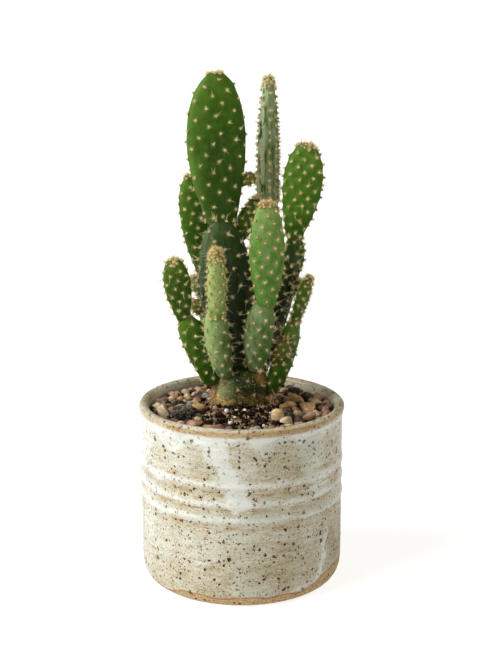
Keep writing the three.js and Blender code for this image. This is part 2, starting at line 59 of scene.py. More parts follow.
MM = 0.001
GOLDEN_TURN = 0.381966
FRONT = -math.pi / 2
SHARPEST_SMOOTH_EDGE = math.radians(60)

Array = np.ndarray
Thing = bpy.types.Object
Material = bpy.types.Material
Socket = bpy.types.NodeSocket
Triple = tuple[float, float, float]
Colour = tuple[float, float, float, float]
Place = tuple[int, Matrix]


# Small sums that several pieces share


def smoothstep(low: float, high: float, value: Any) -> Any:
    """Eases a number or an array from 0 at low to 1 at high."""
    share = np.clip((value - low) / (high - low), 0.0, 1.0)
    return share * share * (3 - 2 * share)


def lerp(first: Any, second: Any, share: Any) -> Any:
    """Goes from first to second as the share goes from 0 to 1."""
    return first + (second - first) * share


def rumple(points: Array, size: float, seed: float = 0.0) -> Array:
    """Draws smooth noise from -1 to 1 at each point.

    Args:
        points: the places, one row each.
        size: how far apart the humps are.
        seed: a shift that gives another draw.

    Returns:
        One number for each point.
    """
    shift = Vector((seed, 2.3 * seed, 0.7 * seed))
    return np.array([noise.noise(Vector(point) / size + shift) for point in points])


def turn_between(angle: Any, other: Any) -> Any:
    """Gives the turn from one angle to another, the short way round."""
    return (angle - other + math.pi) % math.tau - math.pi


def nearest(points: Array, spots: Array) -> Array:
    """Measures how far each point is from the nearest spot."""
    return np.linalg.norm(points[:, None, :] - spots[None, :, :], axis=2).min(axis=1)


def facing(direction: Vector) -> Matrix:
    """Turns a thing that stands upright so that its top points in the direction."""
    return direction.to_track_quat("Z", "Y").to_matrix().to_4x4()


def any_spin(draw: Random) -> Matrix:
    """Draws a turn about the upright axis."""
    return Matrix.Rotation(draw.uniform(0, math.tau), 4, "Z")


# Making and changing meshes


@dataclass(frozen=True)
class Section:
    """One ring of a lofted body: its height, half widths along X and Y, and shift along X."""

    height: float
    wide: float
    deep: float
    shift: float = 0.0


def deselect() -> None:
    """Deselects every object, so that the next operator acts on the new one alone."""
    bpy.ops.object.select_all(action="DESELECT")


def loft(name: str, sections: Sequence[Section], sides: int, is_open: bool = False) -> Thing:
    """Extrudes a circle from section to section, as a pot is pulled up on the wheel.

    Args:
        name: the object's name.
        sections: the rings in their order. A closed outline ends on its first section.
        sides: the corners of each ring.
        is_open: leaves the ends open, for an outline that closes on itself.

    Returns:
        The body, with its faces pointing out.
    """
    deselect()
    first = sections[0]
    fill = "NOTHING" if is_open else "TRIFAN"
    bpy.ops.mesh.primitive_circle_add(vertices=sides, radius=1, fill_type=fill)
    piece = bpy.context.object
    piece.name = piece.data.name = name
    bpy.ops.object.mode_set(mode="EDIT")
    bpy.ops.transform.resize(value=(first.wide, first.deep, 1), center_override=(0, 0, 0))
    bpy.ops.transform.translate(value=(first.shift, 0, first.height))
    for last, new in zip(sections, sections[1:]):
        step = (new.shift - last.shift, 0, new.height - last.height)
        growth = (new.wide / last.wide, new.deep / last.deep, 1)
        bpy.ops.mesh.extrude_region_move(TRANSFORM_OT_translate={"value": step})
        bpy.ops.transform.resize(value=growth, center_override=(new.shift, 0, new.height))
    bpy.ops.mesh.select_all(action="SELECT")
    bpy.ops.mesh.remove_doubles(threshold=0.001)
    bpy.ops.mesh.normals_make_consistent(inside=False)
    bpy.ops.object.mode_set(mode="OBJECT")
    return piece


def refine(piece: Thing, levels: int) -> None:
    """Subdivides a body smoothly and applies it.

    Args:
        piece: the body.
        levels: how many times each face is split.
    """
    deselect()
    bpy.context.view_layer.objects.active = piece
    piece.select_set(True)
    modifier = piece.modifiers.new("fine surface", "SUBSURF")
    modifier.levels = modifier.render_levels = levels
    bpy.ops.object.modifier_apply(modifier=modifier.name)


def read_points(mesh: bpy.types.Mesh, what: str = "co") -> Array:
    """Reads three numbers for each vertex.

    Args:
        mesh: the mesh.
        what: "co" for the places, or "normal" for the normals.

    Returns:
        One row for each vertex.
    """
    values = np.zeros(len(mesh.vertices) * 3)
    mesh.vertices.foreach_get(what, values)
    return values.reshape(-1, 3)


def write_points(mesh: bpy.types.Mesh, points: Array) -> None:
    """Moves the vertices to the given places."""
    mesh.vertices.foreach_set("co", points.reshape(-1))
    mesh.update()


def write_attributes(mesh: bpy.types.Mesh, **attributes: Array) -> None:
    """Stores numbers for each vertex under their names, for a finish to read."""
    for name, values in attributes.items():
        layer = mesh.attributes.new(name, "FLOAT", "POINT")
        layer.data.foreach_set("value", np.asarray(values, dtype=np.float32))


def put_in_place(
    piece: Thing,
    material: Material,
    slot: str,
    nodes: Sequence[str] = (),
    place: Matrix = Matrix.Identity(4),
) -> Thing:
    """Places a finished piece in metres, dresses it and hangs it on the part's body.

    Args:
        piece: the piece, in millimetres.
        material: its finish.
        slot: the record's material slot.
        nodes: the CAD nodes that it stands for.
        place: where the piece goes, in millimetres.

    Returns:
        The same piece.
    """
    deselect()
    bpy.context.view_layer.objects.active = piece
    piece.select_set(True)
    piece.matrix_world = Matrix.Scale(MM, 4) @ place
    bpy.ops.object.transform_apply(location=True, rotation=True, scale=True)
    bpy.ops.object.shade_smooth_by_angle(angle=SHARPEST_SMOOTH_EDGE)
    piece.data.materials.clear()
    piece.data.materials.append(material)
    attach(piece, "root")
    if nodes:
        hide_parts(*nodes)
    log.info("%s: %d faces, in %s", piece.name, len(piece.data.polygons), slot)
    return piece


@dataclass
class Shape:
    """A small thing that is modelled once and copied many times."""

    points: Array
    faces: list[tuple[int, ...]]
    reach: Array

    @classmethod
    def taken_from(cls, piece: Thing) -> "Shape":
        """Takes the mesh of a modelled object and removes the object.

        Args:
            piece: the object, with its root at the origin and its tip up.

        Returns:
            The shape, whose reach goes from 0 at its lowest point to 1 at its highest.
        """
        points = read_points(piece.data)
        faces = [tuple(face.vertices) for face in piece.data.polygons]
        low, high = points[:, 2].min(), points[:, 2].max()
        bpy.data.meshes.remove(piece.data)
        return cls(points, faces, (points[:, 2] - low) / (high - low))


def planted(name: str, shapes: Sequence[Shape], places: Sequence[Place]) -> Thing:
    """Makes one object with a copy of a shape at each place.

    Args:
        name: the object's name.
        shapes: the modelled shapes.
        places: which shape each copy takes, and where it goes.

    Returns:
        The object. Its attribute "reach" tells a copy's foot from its tip.
    """
    points: list[Array] = []
    faces: list[tuple[int, ...]] = []
    reach: list[Array] = []
    count = 0
    for kind, place in places:
        shape = shapes[kind]
        turn = np.array(place)
        points.append(shape.points @ turn[:3, :3].T + turn[:3, 3])
        faces.extend(tuple(corner + count for corner in face) for face in shape.faces)
        reach.append(shape.reach)
        count += len(shape.points)
    mesh = bpy.data.meshes.new(name)
    mesh.from_pydata(np.concatenate(points).tolist(), [], faces)
    write_attributes(mesh, reach=np.concatenate(reach))
    piece = bpy.data.objects.new(name, mesh)
    bpy.context.scene.collection.objects.link(piece)
    return piece


def lump(seed: int, roughness: float, levels: int = 1, is_even: bool = False) -> Thing:
    """Models a stone or a crumb from a small ico sphere with its corners knocked about.

    Args:
        seed: the draw.
        roughness: how far the corners move, as a share of the radius.
        levels: the sphere's own subdivision.
        is_even: smooths the lump again, as a river pebble is.

    Returns:
        The lump, about 1 in radius.
    """
    deselect()
    bpy.ops.mesh.primitive_ico_sphere_add(subdivisions=levels, radius=1)
    piece = bpy.context.object
    bpy.ops.object.mode_set(mode="EDIT")
    bpy.ops.transform.vertex_random(offset=roughness, uniform=0.7, normal=0.5, seed=seed)
    if is_even:
        bpy.ops.mesh.vertices_smooth(factor=0.5, repeat=2)
        bpy.ops.transform.resize(value=(1.2, 1.2, 1.2), center_override=(0, 0, 0))
    bpy.ops.mesh.normals_make_consistent(inside=False)
    bpy.ops.object.mode_set(mode="OBJECT")
    return piece


def split_stone(seed: int, cuts: int) -> Thing:
    """Models a broken stone: an ico sphere cut by a few planes, with worn edges.

    Args:
        seed: the draw.
        cuts: how many flat faces are broken off.

    Returns:
        The stone, about 1 in radius.
    """
    draw = Random(seed)
    piece = lump(seed, 0.1, levels=3)
    bpy.ops.object.mode_set(mode="EDIT")
    for _ in range(cuts):
        normal = Vector((draw.uniform(-1, 1), draw.uniform(-1, 1), draw.uniform(-0.8, 0.8))).normalized()
        bpy.ops.mesh.select_all(action="SELECT")
        bpy.ops.mesh.bisect(
            plane_co=normal * draw.uniform(0.55, 0.8), plane_no=normal, use_fill=True, clear_outer=True
        )
    bpy.ops.mesh.select_all(action="SELECT")
    bpy.ops.mesh.remove_doubles(threshold=0.16)
    bpy.ops.mesh.vertices_smooth(factor=0.35, repeat=1)
    bpy.ops.transform.resize(value=(1.2, 1.2, 1.2), center_override=(0, 0, 0))
    bpy.ops.mesh.normals_make_consistent(inside=False)
    bpy.ops.object.mode_set(mode="OBJECT")
    return piece


# Finishes


def paint(code: str) -> Colour:
    """Turns a colour written as #RRGGBB into the linear values that a shader takes."""
    shares = [int(code[start : start + 2], 16) / 255 for start in (1, 3, 5)]
    linear = [share / 12.92 if share <= 0.04045 else ((share + 0.055) / 1.055) ** 2.4 for share in shares]
    return (linear[0], linear[1], linear[2], 1.0)


class Recipe:
    """A material's node tree, with a short call for each kind of node that the finishes use."""

    def __init__(self, name: str) -> None:
        """Starts a material whose patterns are laid out in millimetres."""
        self.material = bpy.data.materials.new(name)
        self.material.use_nodes = True
        self.tree = self.material.node_tree
        self.shader = self.tree.nodes["Principled BSDF"]
        self.colour: Any = None
        coordinates = self.tree.nodes.new("ShaderNodeTexCoord")
        self.place = self.stretched(coordinates.outputs["Object"], (MM, MM, MM))

    def feed(self, socket: Socket, value: Any) -> None:
        """Links a socket to another one, or sets its own value."""
        if isinstance(value, Socket):
            self.tree.links.new(value, socket)
        else:
            socket.default_value = value

    def node(self, kind: str, inputs: dict[Any, Any], **settings: Any) -> bpy.types.Node:
        """Adds a node.

        Args:
            kind: the node's type.
            inputs: a value or a socket for each input, by its name or number.
            settings: the node's own options.

        Returns:
            The node.
        """
        node = self.tree.nodes.new(kind)
        for name, value in settings.items():
            setattr(node, name, value)
        for name, value in inputs.items():
            self.feed(node.inputs[name], value)
        return node

    def stretched(self, vector: Socket, sizes: Triple) -> Socket:
        """Stretches the coordinates, so that a pattern is that many times as long each way."""
        scale = tuple(1 / size for size in sizes)
        return self.node("ShaderNodeMapping", {"Vector": vector, "Scale": scale}).outputs[0]

    def noise(
        self,
        size: float,
        detail: float = 3.0,
        stretch: Triple = (1.0, 1.0, 1.0),
        warp: float = 0.0,
    ) -> Socket:
        """Adds smooth noise.

        Args:
            size: the patches' size.
            detail: how many finer layers it has.
            stretch: how many times as long the patches are along X, Y and Z.
            warp: how far the patches are pulled about.

        Returns:
            A number around 0.5.
        """
        vector = self.stretched(self.place, stretch)
        inputs = {"Vector": vector, "Scale": 1 / size, "Detail": detail, "Distortion": warp}
        return self.node("ShaderNodeTexNoise", inputs).outputs[0]

    def fade(self, value: Socket, low: float, high: float, start: float = 0.0, end: float = 1.0) -> Socket:
        """Eases from start to end as the value goes from low to high."""
        inputs = {"Value": value, "From Min": low, "From Max": high, "To Min": start, "To Max": end}
        return self.node("ShaderNodeMapRange", inputs, interpolation_type="SMOOTHSTEP").outputs[0]

    def maths(self, operation: str, first: Any, second: Any) -> Socket:
        """Adds, multiplies or compares two numbers, and keeps the result from 0 to 1."""
        inputs = {0: first, 1: second}
        return self.node("ShaderNodeMath", inputs, operation=operation, use_clamp=True).outputs[0]

    def times(self, first: Any, second: Any) -> Socket:
        """Multiplies two numbers, and keeps the result from 0 to 1."""
        return self.maths("MULTIPLY", first, second)

    def scaled_sum(self, value: Socket, factor: float, term: Socket) -> Socket:
        """Gives value times factor plus term, with no limits."""
        inputs = {0: value, 1: factor, 2: term}
        return self.node("ShaderNodeMath", inputs, operation="MULTIPLY_ADD").outputs[0]

    def less(self, value: Socket, amount: Any) -> Socket:
        """Gives value less amount, which may be below 0."""
        return self.node("ShaderNodeMath", {0: value, 1: amount}, operation="SUBTRACT").outputs[0]

    def attribute(self, name: str) -> Socket:
        """Reads a number that the mesh holds for each vertex."""
        return self.node("ShaderNodeAttribute", {}, attribute_name=name).outputs["Fac"]

    def height(self) -> Socket:
        """Gives the height above the surface that the pot stands on."""
        return self.node("ShaderNodeSeparateXYZ", {"Vector": self.place}).outputs["Z"]

    def mix(self, amount: Any, first: Any, second: Any) -> Socket:
        """Mixes two colours.

        Args:
            amount: how much there is of the second one.
            first: a socket or a #RRGGBB code.
            second: another of these.

        Returns:
            The mixed colour.
        """
        colours = [paint(colour) if isinstance(colour, str) else colour for colour in (first, second)]
        inputs = {0: amount, 6: colours[0], 7: colours[1]}
        return self.node("ShaderNodeMix", inputs, data_type="RGBA").outputs[2]

    def cover(self, amount: Any, colour: Any) -> None:
        """Lays that much of a colour over what the recipe has so far."""
        self.colour = self.mix(amount, self.colour, colour)

    def ramp(self, value: Socket, stops: Sequence[tuple[float, str]]) -> Socket:
        """Turns a number into a colour.

        Args:
            value: the number.
            stops: where each colour stands.

        Returns:
            The colour.
        """
        node = self.node("ShaderNodeValToRGB", {"Fac": value})
        elements = node.color_ramp.elements
        while len(elements) < len(stops):
            elements.new(1.0)
        for element, (position, code) in zip(elements, stops):
            element.position = position
            element.color = paint(code)
        return node.outputs["Color"]

    def specks(self, spacing: float, radius: float, share: float, warp: float = 1.0) -> Socket:
        """Adds scattered dots of many sizes.

        Args:
            spacing: how far apart the dots could stand.
            radius: the largest dot's radius.
            share: how many of the places hold a dot.
            warp: how far the dots' outlines are pulled about.

        Returns:
            1 in a dot and 0 beside it.
        """
        ragged = self.node(
            "ShaderNodeTexNoise", {"Vector": self.place, "Scale": 1 / radius, "Detail": 2.0}
        ).outputs["Color"]
        push = self.node(
            "ShaderNodeVectorMath", {0: ragged, 1: (warp * radius,) * 3}, operation="MULTIPLY"
        ).outputs[0]
        moved = self.node("ShaderNodeVectorMath", {0: self.place, 1: push}, operation="ADD").outputs[0]
        cells = self.node("ShaderNodeTexVoronoi", {"Vector": moved, "Scale": 1 / spacing})
        chance = self.node("ShaderNodeSeparateColor", {"Color": cells.outputs["Color"]}).outputs[0]
        wanted = self.fade(chance, 1 - share, 1.0, 0.0, radius / spacing)
        inside = self.less(wanted, cells.outputs["Distance"])
        return self.fade(inside, 0.0, 0.12 * radius / spacing)

    def relief(self, layers: Sequence[tuple[Socket, float]]) -> None:
        """Raises the surface by each pattern in turn.

        Args:
            layers: the patterns, each with the height that it gives in millimetres.
        """
        normal = None
        for pattern, height in layers:
            inputs = {"Strength": 1.0, "Distance": height * MM, "Height": pattern}
            node = self.node("ShaderNodeBump", inputs)
            if normal is not None:
                self.feed(node.inputs["Normal"], normal)
            normal = node.outputs[0]
        self.feed(self.shader.inputs["Normal"], normal)

    def finish(self, roughness: Any, constants: dict[str, Any]) -> Material:
        """Feeds the shader.

        Args:
            roughness: the roughness, a number or a pattern.
            constants: the values that are the same all over, by their sockets' names.

        Returns:
            The material.
        """
        self.feed(self.shader.inputs["Base Color"], self.colour)
        self.feed(self.shader.inputs["Roughness"], roughness)
        for name, value in constants.items():
            self.shader.inputs[name].default_value = value
        return self.material


@dataclass(frozen=True)
class PadSkin:
    """The waxy skin of a pad: two greens in blotches and a bloom, painted paler round the areoles as a
    highlight.
    """

    name: str
    deep: str
    leaf: str
    fresh: str
    low: str
    bloom: str
    bloom_share: float
    wrinkles: float
    roughness: float
    cork: float = 0.1
    rim: str = "#4A3416"
    scar: str = "#8A7048"
    joint: str = "#6A6230"

    def make(self) -> Material:
        """Makes the material."""
        recipe = Recipe(self.name)
        along = recipe.attribute("along")
        near = recipe.attribute("areole")
        shine = recipe.attribute("sheen")
        blotch = recipe.noise(13, 4.0, (1, 1, 1.6), 0.4)
        mottle = recipe.noise(3.2, 4.0)
        streak = recipe.noise(2.4, 4.0, (1, 1, 6))
        pores = recipe.noise(0.35, 2.0)
        recipe.colour = recipe.mix(recipe.fade(blotch, 0.36, 0.62), self.deep, self.leaf)
        recipe.cover(recipe.fade(mottle, 0.42, 0.7, 0.0, 0.45), self.deep)
        recipe.cover(recipe.fade(mottle, 0.48, 0.3, 0.0, 0.16), self.fresh)
        recipe.cover(recipe.fade(along, 0.4, 0.05, 0.0, 0.8), self.low)
        recipe.cover(recipe.fade(along, 0.55, 1.0, 0.0, 0.4), self.fresh)
        # The pale attribute is the pad's own paler tone plus a painted highlight on the side that faces the
        # light.
        pale = recipe.times(recipe.attribute("pale"), recipe.fade(along, 0.0, 0.3))
        recipe.cover(pale, self.fresh)
        # Painted light: shade in the wrinkle troughs and bloom as a painted sheen on their ridges, as much
        # as the sheen attribute, which is strongest on the side that faces the light.
        painted_trough_shade = recipe.times(shine, recipe.fade(streak, 0.47, 0.37, 0.0, 0.9))
        recipe.cover(painted_trough_shade, self.low)
        bloom_and_painted_sheen = recipe.times(shine, recipe.fade(streak, 0.34, 0.52))
        recipe.cover(bloom_and_painted_sheen, self.bloom)
        # Paler green round each areole: a painted highlight on its tubercle.
        recipe.cover(recipe.fade(near, 0.2, 0.7, 0.0, 0.22), self.fresh)
        recipe.cover(recipe.fade(near, 0.6, 0.9, 0.0, 0.8), self.rim)
        wear = recipe.fade(recipe.noise(9, 5.0, (1, 1, 1.8), 0.8), 0.45, 0.7)
        rubbed = recipe.times(wear, self.bloom_share)
        recipe.cover(rubbed, self.bloom)
        recipe.cover(recipe.specks(0.9, 0.16, 0.7), self.fresh)
        scars = recipe.times(recipe.specks(7, 1.2, self.cork, 1.6), 0.75)
        recipe.cover(scars, self.scar)
        recipe.cover(recipe.fade(along, 0.035, 0.0, 0.0, 0.35), self.joint)
        roughness = recipe.fade(blotch, 0.3, 0.7, self.roughness - 0.07, self.roughness + 0.1)
        recipe.relief([(streak, self.wrinkles), (mottle, 0.26), (pores, 0.04), (scars, 0.12)])
        constants = {
            "Subsurface Weight": 0.06,
            "Subsurface Radius": (0.5, 1.0, 0.2),
            "Subsurface Scale": 0.002,
            "IOR": 1.46,
            "Specular IOR Level": 0.1,
            "Coat Weight": 0.015,
            "Coat Roughness": 0.3,
        }
        return recipe.finish(roughness, constants)


@dataclass(frozen=True)
class WoolFinish:
    """The felt and the barbed bristles of the areoles."""

    name: str
    felt: str
    bristle: str
    tip: str
    shade: str

    def make(self) -> Material:
        """Makes the material."""
        recipe = Recipe(self.name)
        reach = recipe.attribute("reach")
        tone = recipe.noise(1.3, 3.0)
        grain = recipe.noise(0.3, 2.0)
        recipe.colour = recipe.mix(recipe.fade(reach, 0.05, 0.32), self.felt, self.bristle)
        recipe.cover(recipe.fade(reach, 0.6, 1.0), self.tip)
        recipe.cover(recipe.fade(tone, 0.48, 0.62, 0.0, 0.62), self.shade)
        recipe.relief([(grain, 0.12)])
        constants = {
            "Sheen Weight": 0.8,
            "Sheen Roughness": 0.4,
            "Sheen Tint": (1.0, 0.8, 0.38, 1.0),
            "Specular IOR Level": 0.2,
            "Subsurface Weight": 0.25,
            "Subsurface Radius": (1.0, 0.85, 0.5),
            "Subsurface Scale": 0.0012,
        }
        return recipe.finish(0.75, constants)


@dataclass(frozen=True)
class SpineFinish:
    """The horn of a spine, darker at its foot."""

    name: str
    foot: str
    shaft: str
    tip: str

    def make(self) -> Material:
        """Makes the material."""
        recipe = Recipe(self.name)
        reach = recipe.attribute("reach")
        recipe.colour = recipe.mix(recipe.fade(reach, 0.0, 0.3), self.foot, self.shaft)
        recipe.cover(recipe.fade(reach, 0.75, 1.0), self.tip)
        grain = recipe.noise(0.5, 2.0, (1, 1, 5))
        recipe.cover(recipe.fade(grain, 0.4, 0.7, 0.0, 0.3), self.foot)
        recipe.relief([(grain, 0.03)])
        constants = {"Subsurface Weight": 0.1, "Subsurface Scale": 0.001}
        return recipe.finish(0.42, constants)


@dataclass(frozen=True)
class GlazeFinish:
    """A satin cream glaze over speckled stoneware, thin and ochre in the grooves, with painted shade under
    the ridges.

    SPECKS holds the iron specks' spacing, radius, share and warp, from the commonest kinds on.
    """

    SPECKS = ((3.2, 1.1, 0.6, 2.2), (2.1, 0.7, 0.6, 2.0), (6.0, 1.55, 0.5, 2.4), (1.2, 0.4, 0.7, 1.6))

    name: str = "stoneware glaze"
    thin: str = "#9C8660"
    sand: str = "#BAAE8F"
    cream: str = "#CDC8B3"
    milk: str = "#DCDCCF"
    white: str = "#E9EBE6"
    cool: str = "#C6CABC"
    ochre: str = "#B2883A"
    iron: str = "#402400"
    clay: str = "#D4BA90"
    # The painted shade on the inner wall.
    inside: str = "#B4A68C"
    stain: str = "#86592A"
    dust: str = "#7C5C36"
    sandy_clay: str = "#AE9064"
    burnt_edge: str = "#A8683C"

    def make(self) -> Material:
        """Makes the material."""
        recipe = Recipe(self.name)
        cloud = recipe.noise(14, 5.0, (1.4, 1.4, 0.8), 0.6)
        brush = recipe.noise(3.2, 6.0, (3.6, 3.6, 0.5), 0.5)
        grain = recipe.noise(1.0, 5.0, (1.3, 1.3, 0.8))
        fine = recipe.noise(0.5, 3.0, (2.4, 2.4, 0.6))
        bare = recipe.attribute("bare")
        depth = recipe.attribute("glaze")
        for pattern, share in [(cloud, 0.5), (brush, 0.55), (grain, 0.7), (fine, 0.5)]:
            depth = recipe.scaled_sum(recipe.less(pattern, 0.5), share, depth)
        self.pour_glaze(recipe, depth, brush)
        self.bare_clay(recipe, bare, grain)
        dots = [recipe.specks(*size) for size in self.SPECKS]
        self.add_specks(recipe, depth, dots)
        gloss = recipe.fade(grain, 0.3, 0.7, 0.26, 0.38)
        matt = recipe.fade(bare, 0.35, 0.65, 0.0, 0.5)
        pits = recipe.maths("MAXIMUM", dots[0], dots[2])
        recipe.relief([(cloud, 0.3), (brush, 0.2), (grain, 0.1), (pits, -0.06)])
        constants = {"IOR": 1.5, "Specular IOR Level": 0.28, "Coat Weight": 0.06, "Coat Roughness": 0.15}
        return recipe.finish(recipe.maths("ADD", gloss, matt), constants)

    def pour_glaze(self, recipe: Recipe, depth: Socket, brush: Socket) -> None:
        """Colours the glaze by its depth, with ochre in the grooves and on the lip.

        Args:
            recipe: the material in the making.
            depth: how thick the glaze lies.
            brush: the pattern of the turning strokes.
        """
        tones = (self.thin, self.sand, self.cream, self.milk, self.white)
        stops = list(zip((0.12, 0.3, 0.48, 0.68, 0.9), tones))
        cool = recipe.fade(recipe.noise(20, 4.0, (1, 1, 1), 0.5), 0.45, 0.65, 0.0, 0.4)
        recipe.colour = recipe.mix(cool, recipe.ramp(depth, stops), self.cool)
        broken = recipe.fade(recipe.noise(4.5, 6.0, (2.2, 2.2, 0.5), 0.6), 0.4, 0.56)
        broken = recipe.maths("ADD", broken, recipe.fade(recipe.height(), 115.0, 117.0, 0.0, 0.7))
        # The groove attribute holds the ochre glaze break and the painted shade under the ridges.
        runny = recipe.times(recipe.attribute("groove"), broken)
        recipe.cover(recipe.times(runny, 0.7), self.ochre)
        stain = recipe.times(runny, recipe.fade(recipe.noise(1.6, 5.0, (2.0, 2.0, 0.6)), 0.5, 0.62))
        recipe.cover(recipe.times(stain, 0.6), self.stain)
        worn = recipe.times(recipe.fade(recipe.height(), 118.5, 121.0), recipe.fade(brush, 0.42, 0.6))
        recipe.cover(recipe.times(worn, 0.45), self.ochre)

    def bare_clay(self, recipe: Recipe, bare: Socket, grain: Socket) -> None:
        """Adds the darker inner wall, which is painted shade, the bare clay of the foot and the burnt edge
        between.

        Args:
            recipe: the material in the making.
            bare: where the clay is bare.
            grain: the clay's grain.
        """
        clay = recipe.mix(recipe.fade(grain, 0.35, 0.65), self.clay, self.sandy_clay)
        edge = recipe.times(recipe.fade(bare, 0.1, 0.5), recipe.fade(bare, 0.95, 0.6))
        # The inner wall is painted darker, fading in below the lip: painted shade inside the pot.
        inner = recipe.fade(recipe.attribute("inner"), 0.2, 0.9, 0.0, 0.8)
        recipe.cover(inner, self.inside)
        recipe.cover(recipe.fade(bare, 0.35, 0.65), clay)
        recipe.cover(recipe.times(edge, 0.8), self.burnt_edge)

    def add_specks(self, recipe: Recipe, depth: Socket, dots: Sequence[Socket]) -> None:
        """Adds the iron specks, which show most where the glaze is thin, with halos and dust.

        Args:
            recipe: the material in the making.
            depth: how thick the glaze lies.
            dots: the specks' patterns.
        """
        halo = recipe.specks(2.9, 1.15, 0.7, 1.8)
        recipe.cover(recipe.times(halo, 0.45), self.ochre)
        thinness = recipe.fade(depth, 0.95, 0.4, 0.5, 1.0)
        thinnest = recipe.fade(depth, 0.85, 0.6)
        low = recipe.fade(recipe.height(), 88.0, 50.0, 0.35, 1.0)
        dust = recipe.times(recipe.specks(0.7, 0.2, 0.6), thinnest)
        recipe.cover(recipe.times(dust, 0.6), self.dust)
        crowd = recipe.fade(recipe.maths("ADD", recipe.noise(7, 3.0), recipe.times(low, 0.2)), 0.5, 0.56)
        crowded = recipe.times(thinnest, crowd)
        for dot, share in zip(dots, [thinness, crowded, thinness, crowded]):
            recipe.cover(recipe.times(dot, share), self.iron)


@dataclass(frozen=True)
class GroundFinish:
    """Soil, clay, perlite or stone: two tones in patches, with grains of a third."""

    name: str
    dark: str
    light: str
    fleck: str
    patch: float = 3.0
    grain: float = 0.5
    flecks: float = 0.3
    roughness: float = 0.85
    bumps: float = 0.25
    pits: float = 0.0
    streaks: bool = False
    shine: float = 0.18

    def make(self) -> Material:
        """Makes the material."""
        recipe = Recipe(self.name)
        stretch = (0.35, 2.2, 0.6) if self.streaks else (1.0, 1.0, 1.0)
        patch = recipe.noise(self.patch, 4.0, stretch, 0.5)
        tone = recipe.noise(self.patch * 3.5, 1.0)
        grain = recipe.noise(self.grain, 3.0)
        recipe.colour = recipe.mix(recipe.fade(patch, 0.34, 0.66), self.dark, self.light)
        recipe.cover(recipe.fade(tone, 0.4, 0.62, 0.0, 0.6), self.dark)
        recipe.cover(recipe.fade(tone, 0.5, 0.35, 0.0, 0.45), self.light)
        flecks = recipe.specks(self.grain * 2.4, self.grain * 0.7, self.flecks)
        recipe.cover(flecks, self.fleck)
        layers = [(patch, self.bumps), (grain, self.bumps * 0.4)]
        if self.pits:
            hole = recipe.specks(self.grain * 3, self.grain * 1.3, 0.9)
            # The pits are painted darker as well as sunk: painted shade in them.
            recipe.cover(recipe.times(hole, 0.6), self.dark)
            layers.append((hole, -self.pits))
        recipe.relief(layers)
        roughness = recipe.fade(grain, 0.3, 0.7, self.roughness - 0.08, self.roughness + 0.06)
        return recipe.finish(roughness, {"Specular IOR Level": self.shine})


@dataclass(frozen=True)
class StemSkin:
    """The old stem: blue-green skin above, turning to yellow-brown cork near the soil."""

    name: str = "stem skin"
    deep: str = "#162206"
    leaf: str = "#364414"
    vein: str = "#6A7238"
    lit_leaf: str = "#A0A872"
    speck: str = "#D6D4A0"
    corks: Sequence[tuple[float, str]] = (
        (0.34, "#2E2012"), (0.46, "#5E4828"), (0.56, "#857642"), (0.7, "#BFAE78"),
    )
    lit_cork: str = "#DEBC74"
    new_cork: str = "#B48C54"
    scar: str = "#8A6A50"

    def make(self) -> Material:
        """Makes the material."""
        recipe = Recipe(self.name)
        lit = recipe.attribute("lit")
        corky = recipe.attribute("corky")
        patch = recipe.noise(7, 5.0, (1, 1, 1), 0.6)
        crack = recipe.noise(2.0, 6.0, (1, 1, 0.7), 0.9)
        grain = recipe.noise(0.6, 3.0)
        green = recipe.mix(recipe.fade(patch, 0.35, 0.65), self.deep, self.leaf)
        green = recipe.mix(recipe.fade(crack, 0.5, 0.7, 0.0, 0.5), green, self.vein)
        # Painted highlight: where the lit attribute is high, on the side toward the light, the skin and the
        # cork are paler.
        green = recipe.mix(recipe.times(lit, recipe.fade(crack, 0.3, 0.6, 0.4, 0.85)), green, self.lit_leaf)
        green = recipe.mix(recipe.specks(1.3, 0.34, 0.7, 1.5), green, self.speck)
        cork = recipe.ramp(crack, self.corks)
        cork = recipe.mix(recipe.times(lit, recipe.fade(crack, 0.35, 0.6, 0.35, 0.9)), cork, self.lit_cork)
        cork = recipe.mix(recipe.times(corky, 0.5), cork, self.new_cork)
        ragged_height = recipe.scaled_sum(patch, 20.0, recipe.height())
        sound = recipe.maths("SUBTRACT", recipe.fade(ragged_height, 133.5, 141.0), corky)
        near = recipe.fade(recipe.attribute("areole"), 0.5, 1.0, 0.0, 0.5)
        recipe.colour = recipe.mix(near, recipe.mix(sound, cork, green), self.scar)
        recipe.relief([(patch, 0.5), (crack, 0.5), (grain, 0.15)])
        roughness = recipe.fade(patch, 0.3, 0.7, 0.5, 0.7)
        constants = {"Specular IOR Level": 0.18, "Subsurface Weight": 0.03, "Subsurface Scale": 0.001}
        return recipe.finish(roughness, constants)


# The cactus


class Skin(Enum):
    """The skins of pads of different ages, each with its record slot."""

    OLD = "skin_old"
    GREY = "skin_grey"
    LEAF = "skin_leaf"
    YOUNG = "skin_young"
    DRY = "skin_dry"


SKINS = {
    Skin.OLD: PadSkin(
        "old skin", "#131E05", "#21350A", "#3E5A22", "#1B2406", "#76886A", 0.14, 0.05, 0.45, 0.4,
    ),
    Skin.GREY: PadSkin(
        "grey skin", "#36511A", "#48662A", "#86A258", "#2A5206", "#BEC8A6", 0.15, 0.08, 0.44, 0.14,
    ),
    Skin.LEAF: PadSkin(
        "leaf skin", "#274504", "#375A09", "#668F2A", "#274603", "#86A062", 0.1, 0.04, 0.42, 0.1,
    ),
    Skin.YOUNG: PadSkin(
        "young skin", "#4A7429", "#628937", "#A4BA70", "#447822", "#A0B484", 0.2, 0.03, 0.4, 0.04,
    ),
    Skin.DRY: PadSkin(
        "dry skin", "#2A3408", "#465216", "#7A8438", "#38380E", "#8A8450", 0.2, 0.5, 0.6, 0.5,
    ),
}


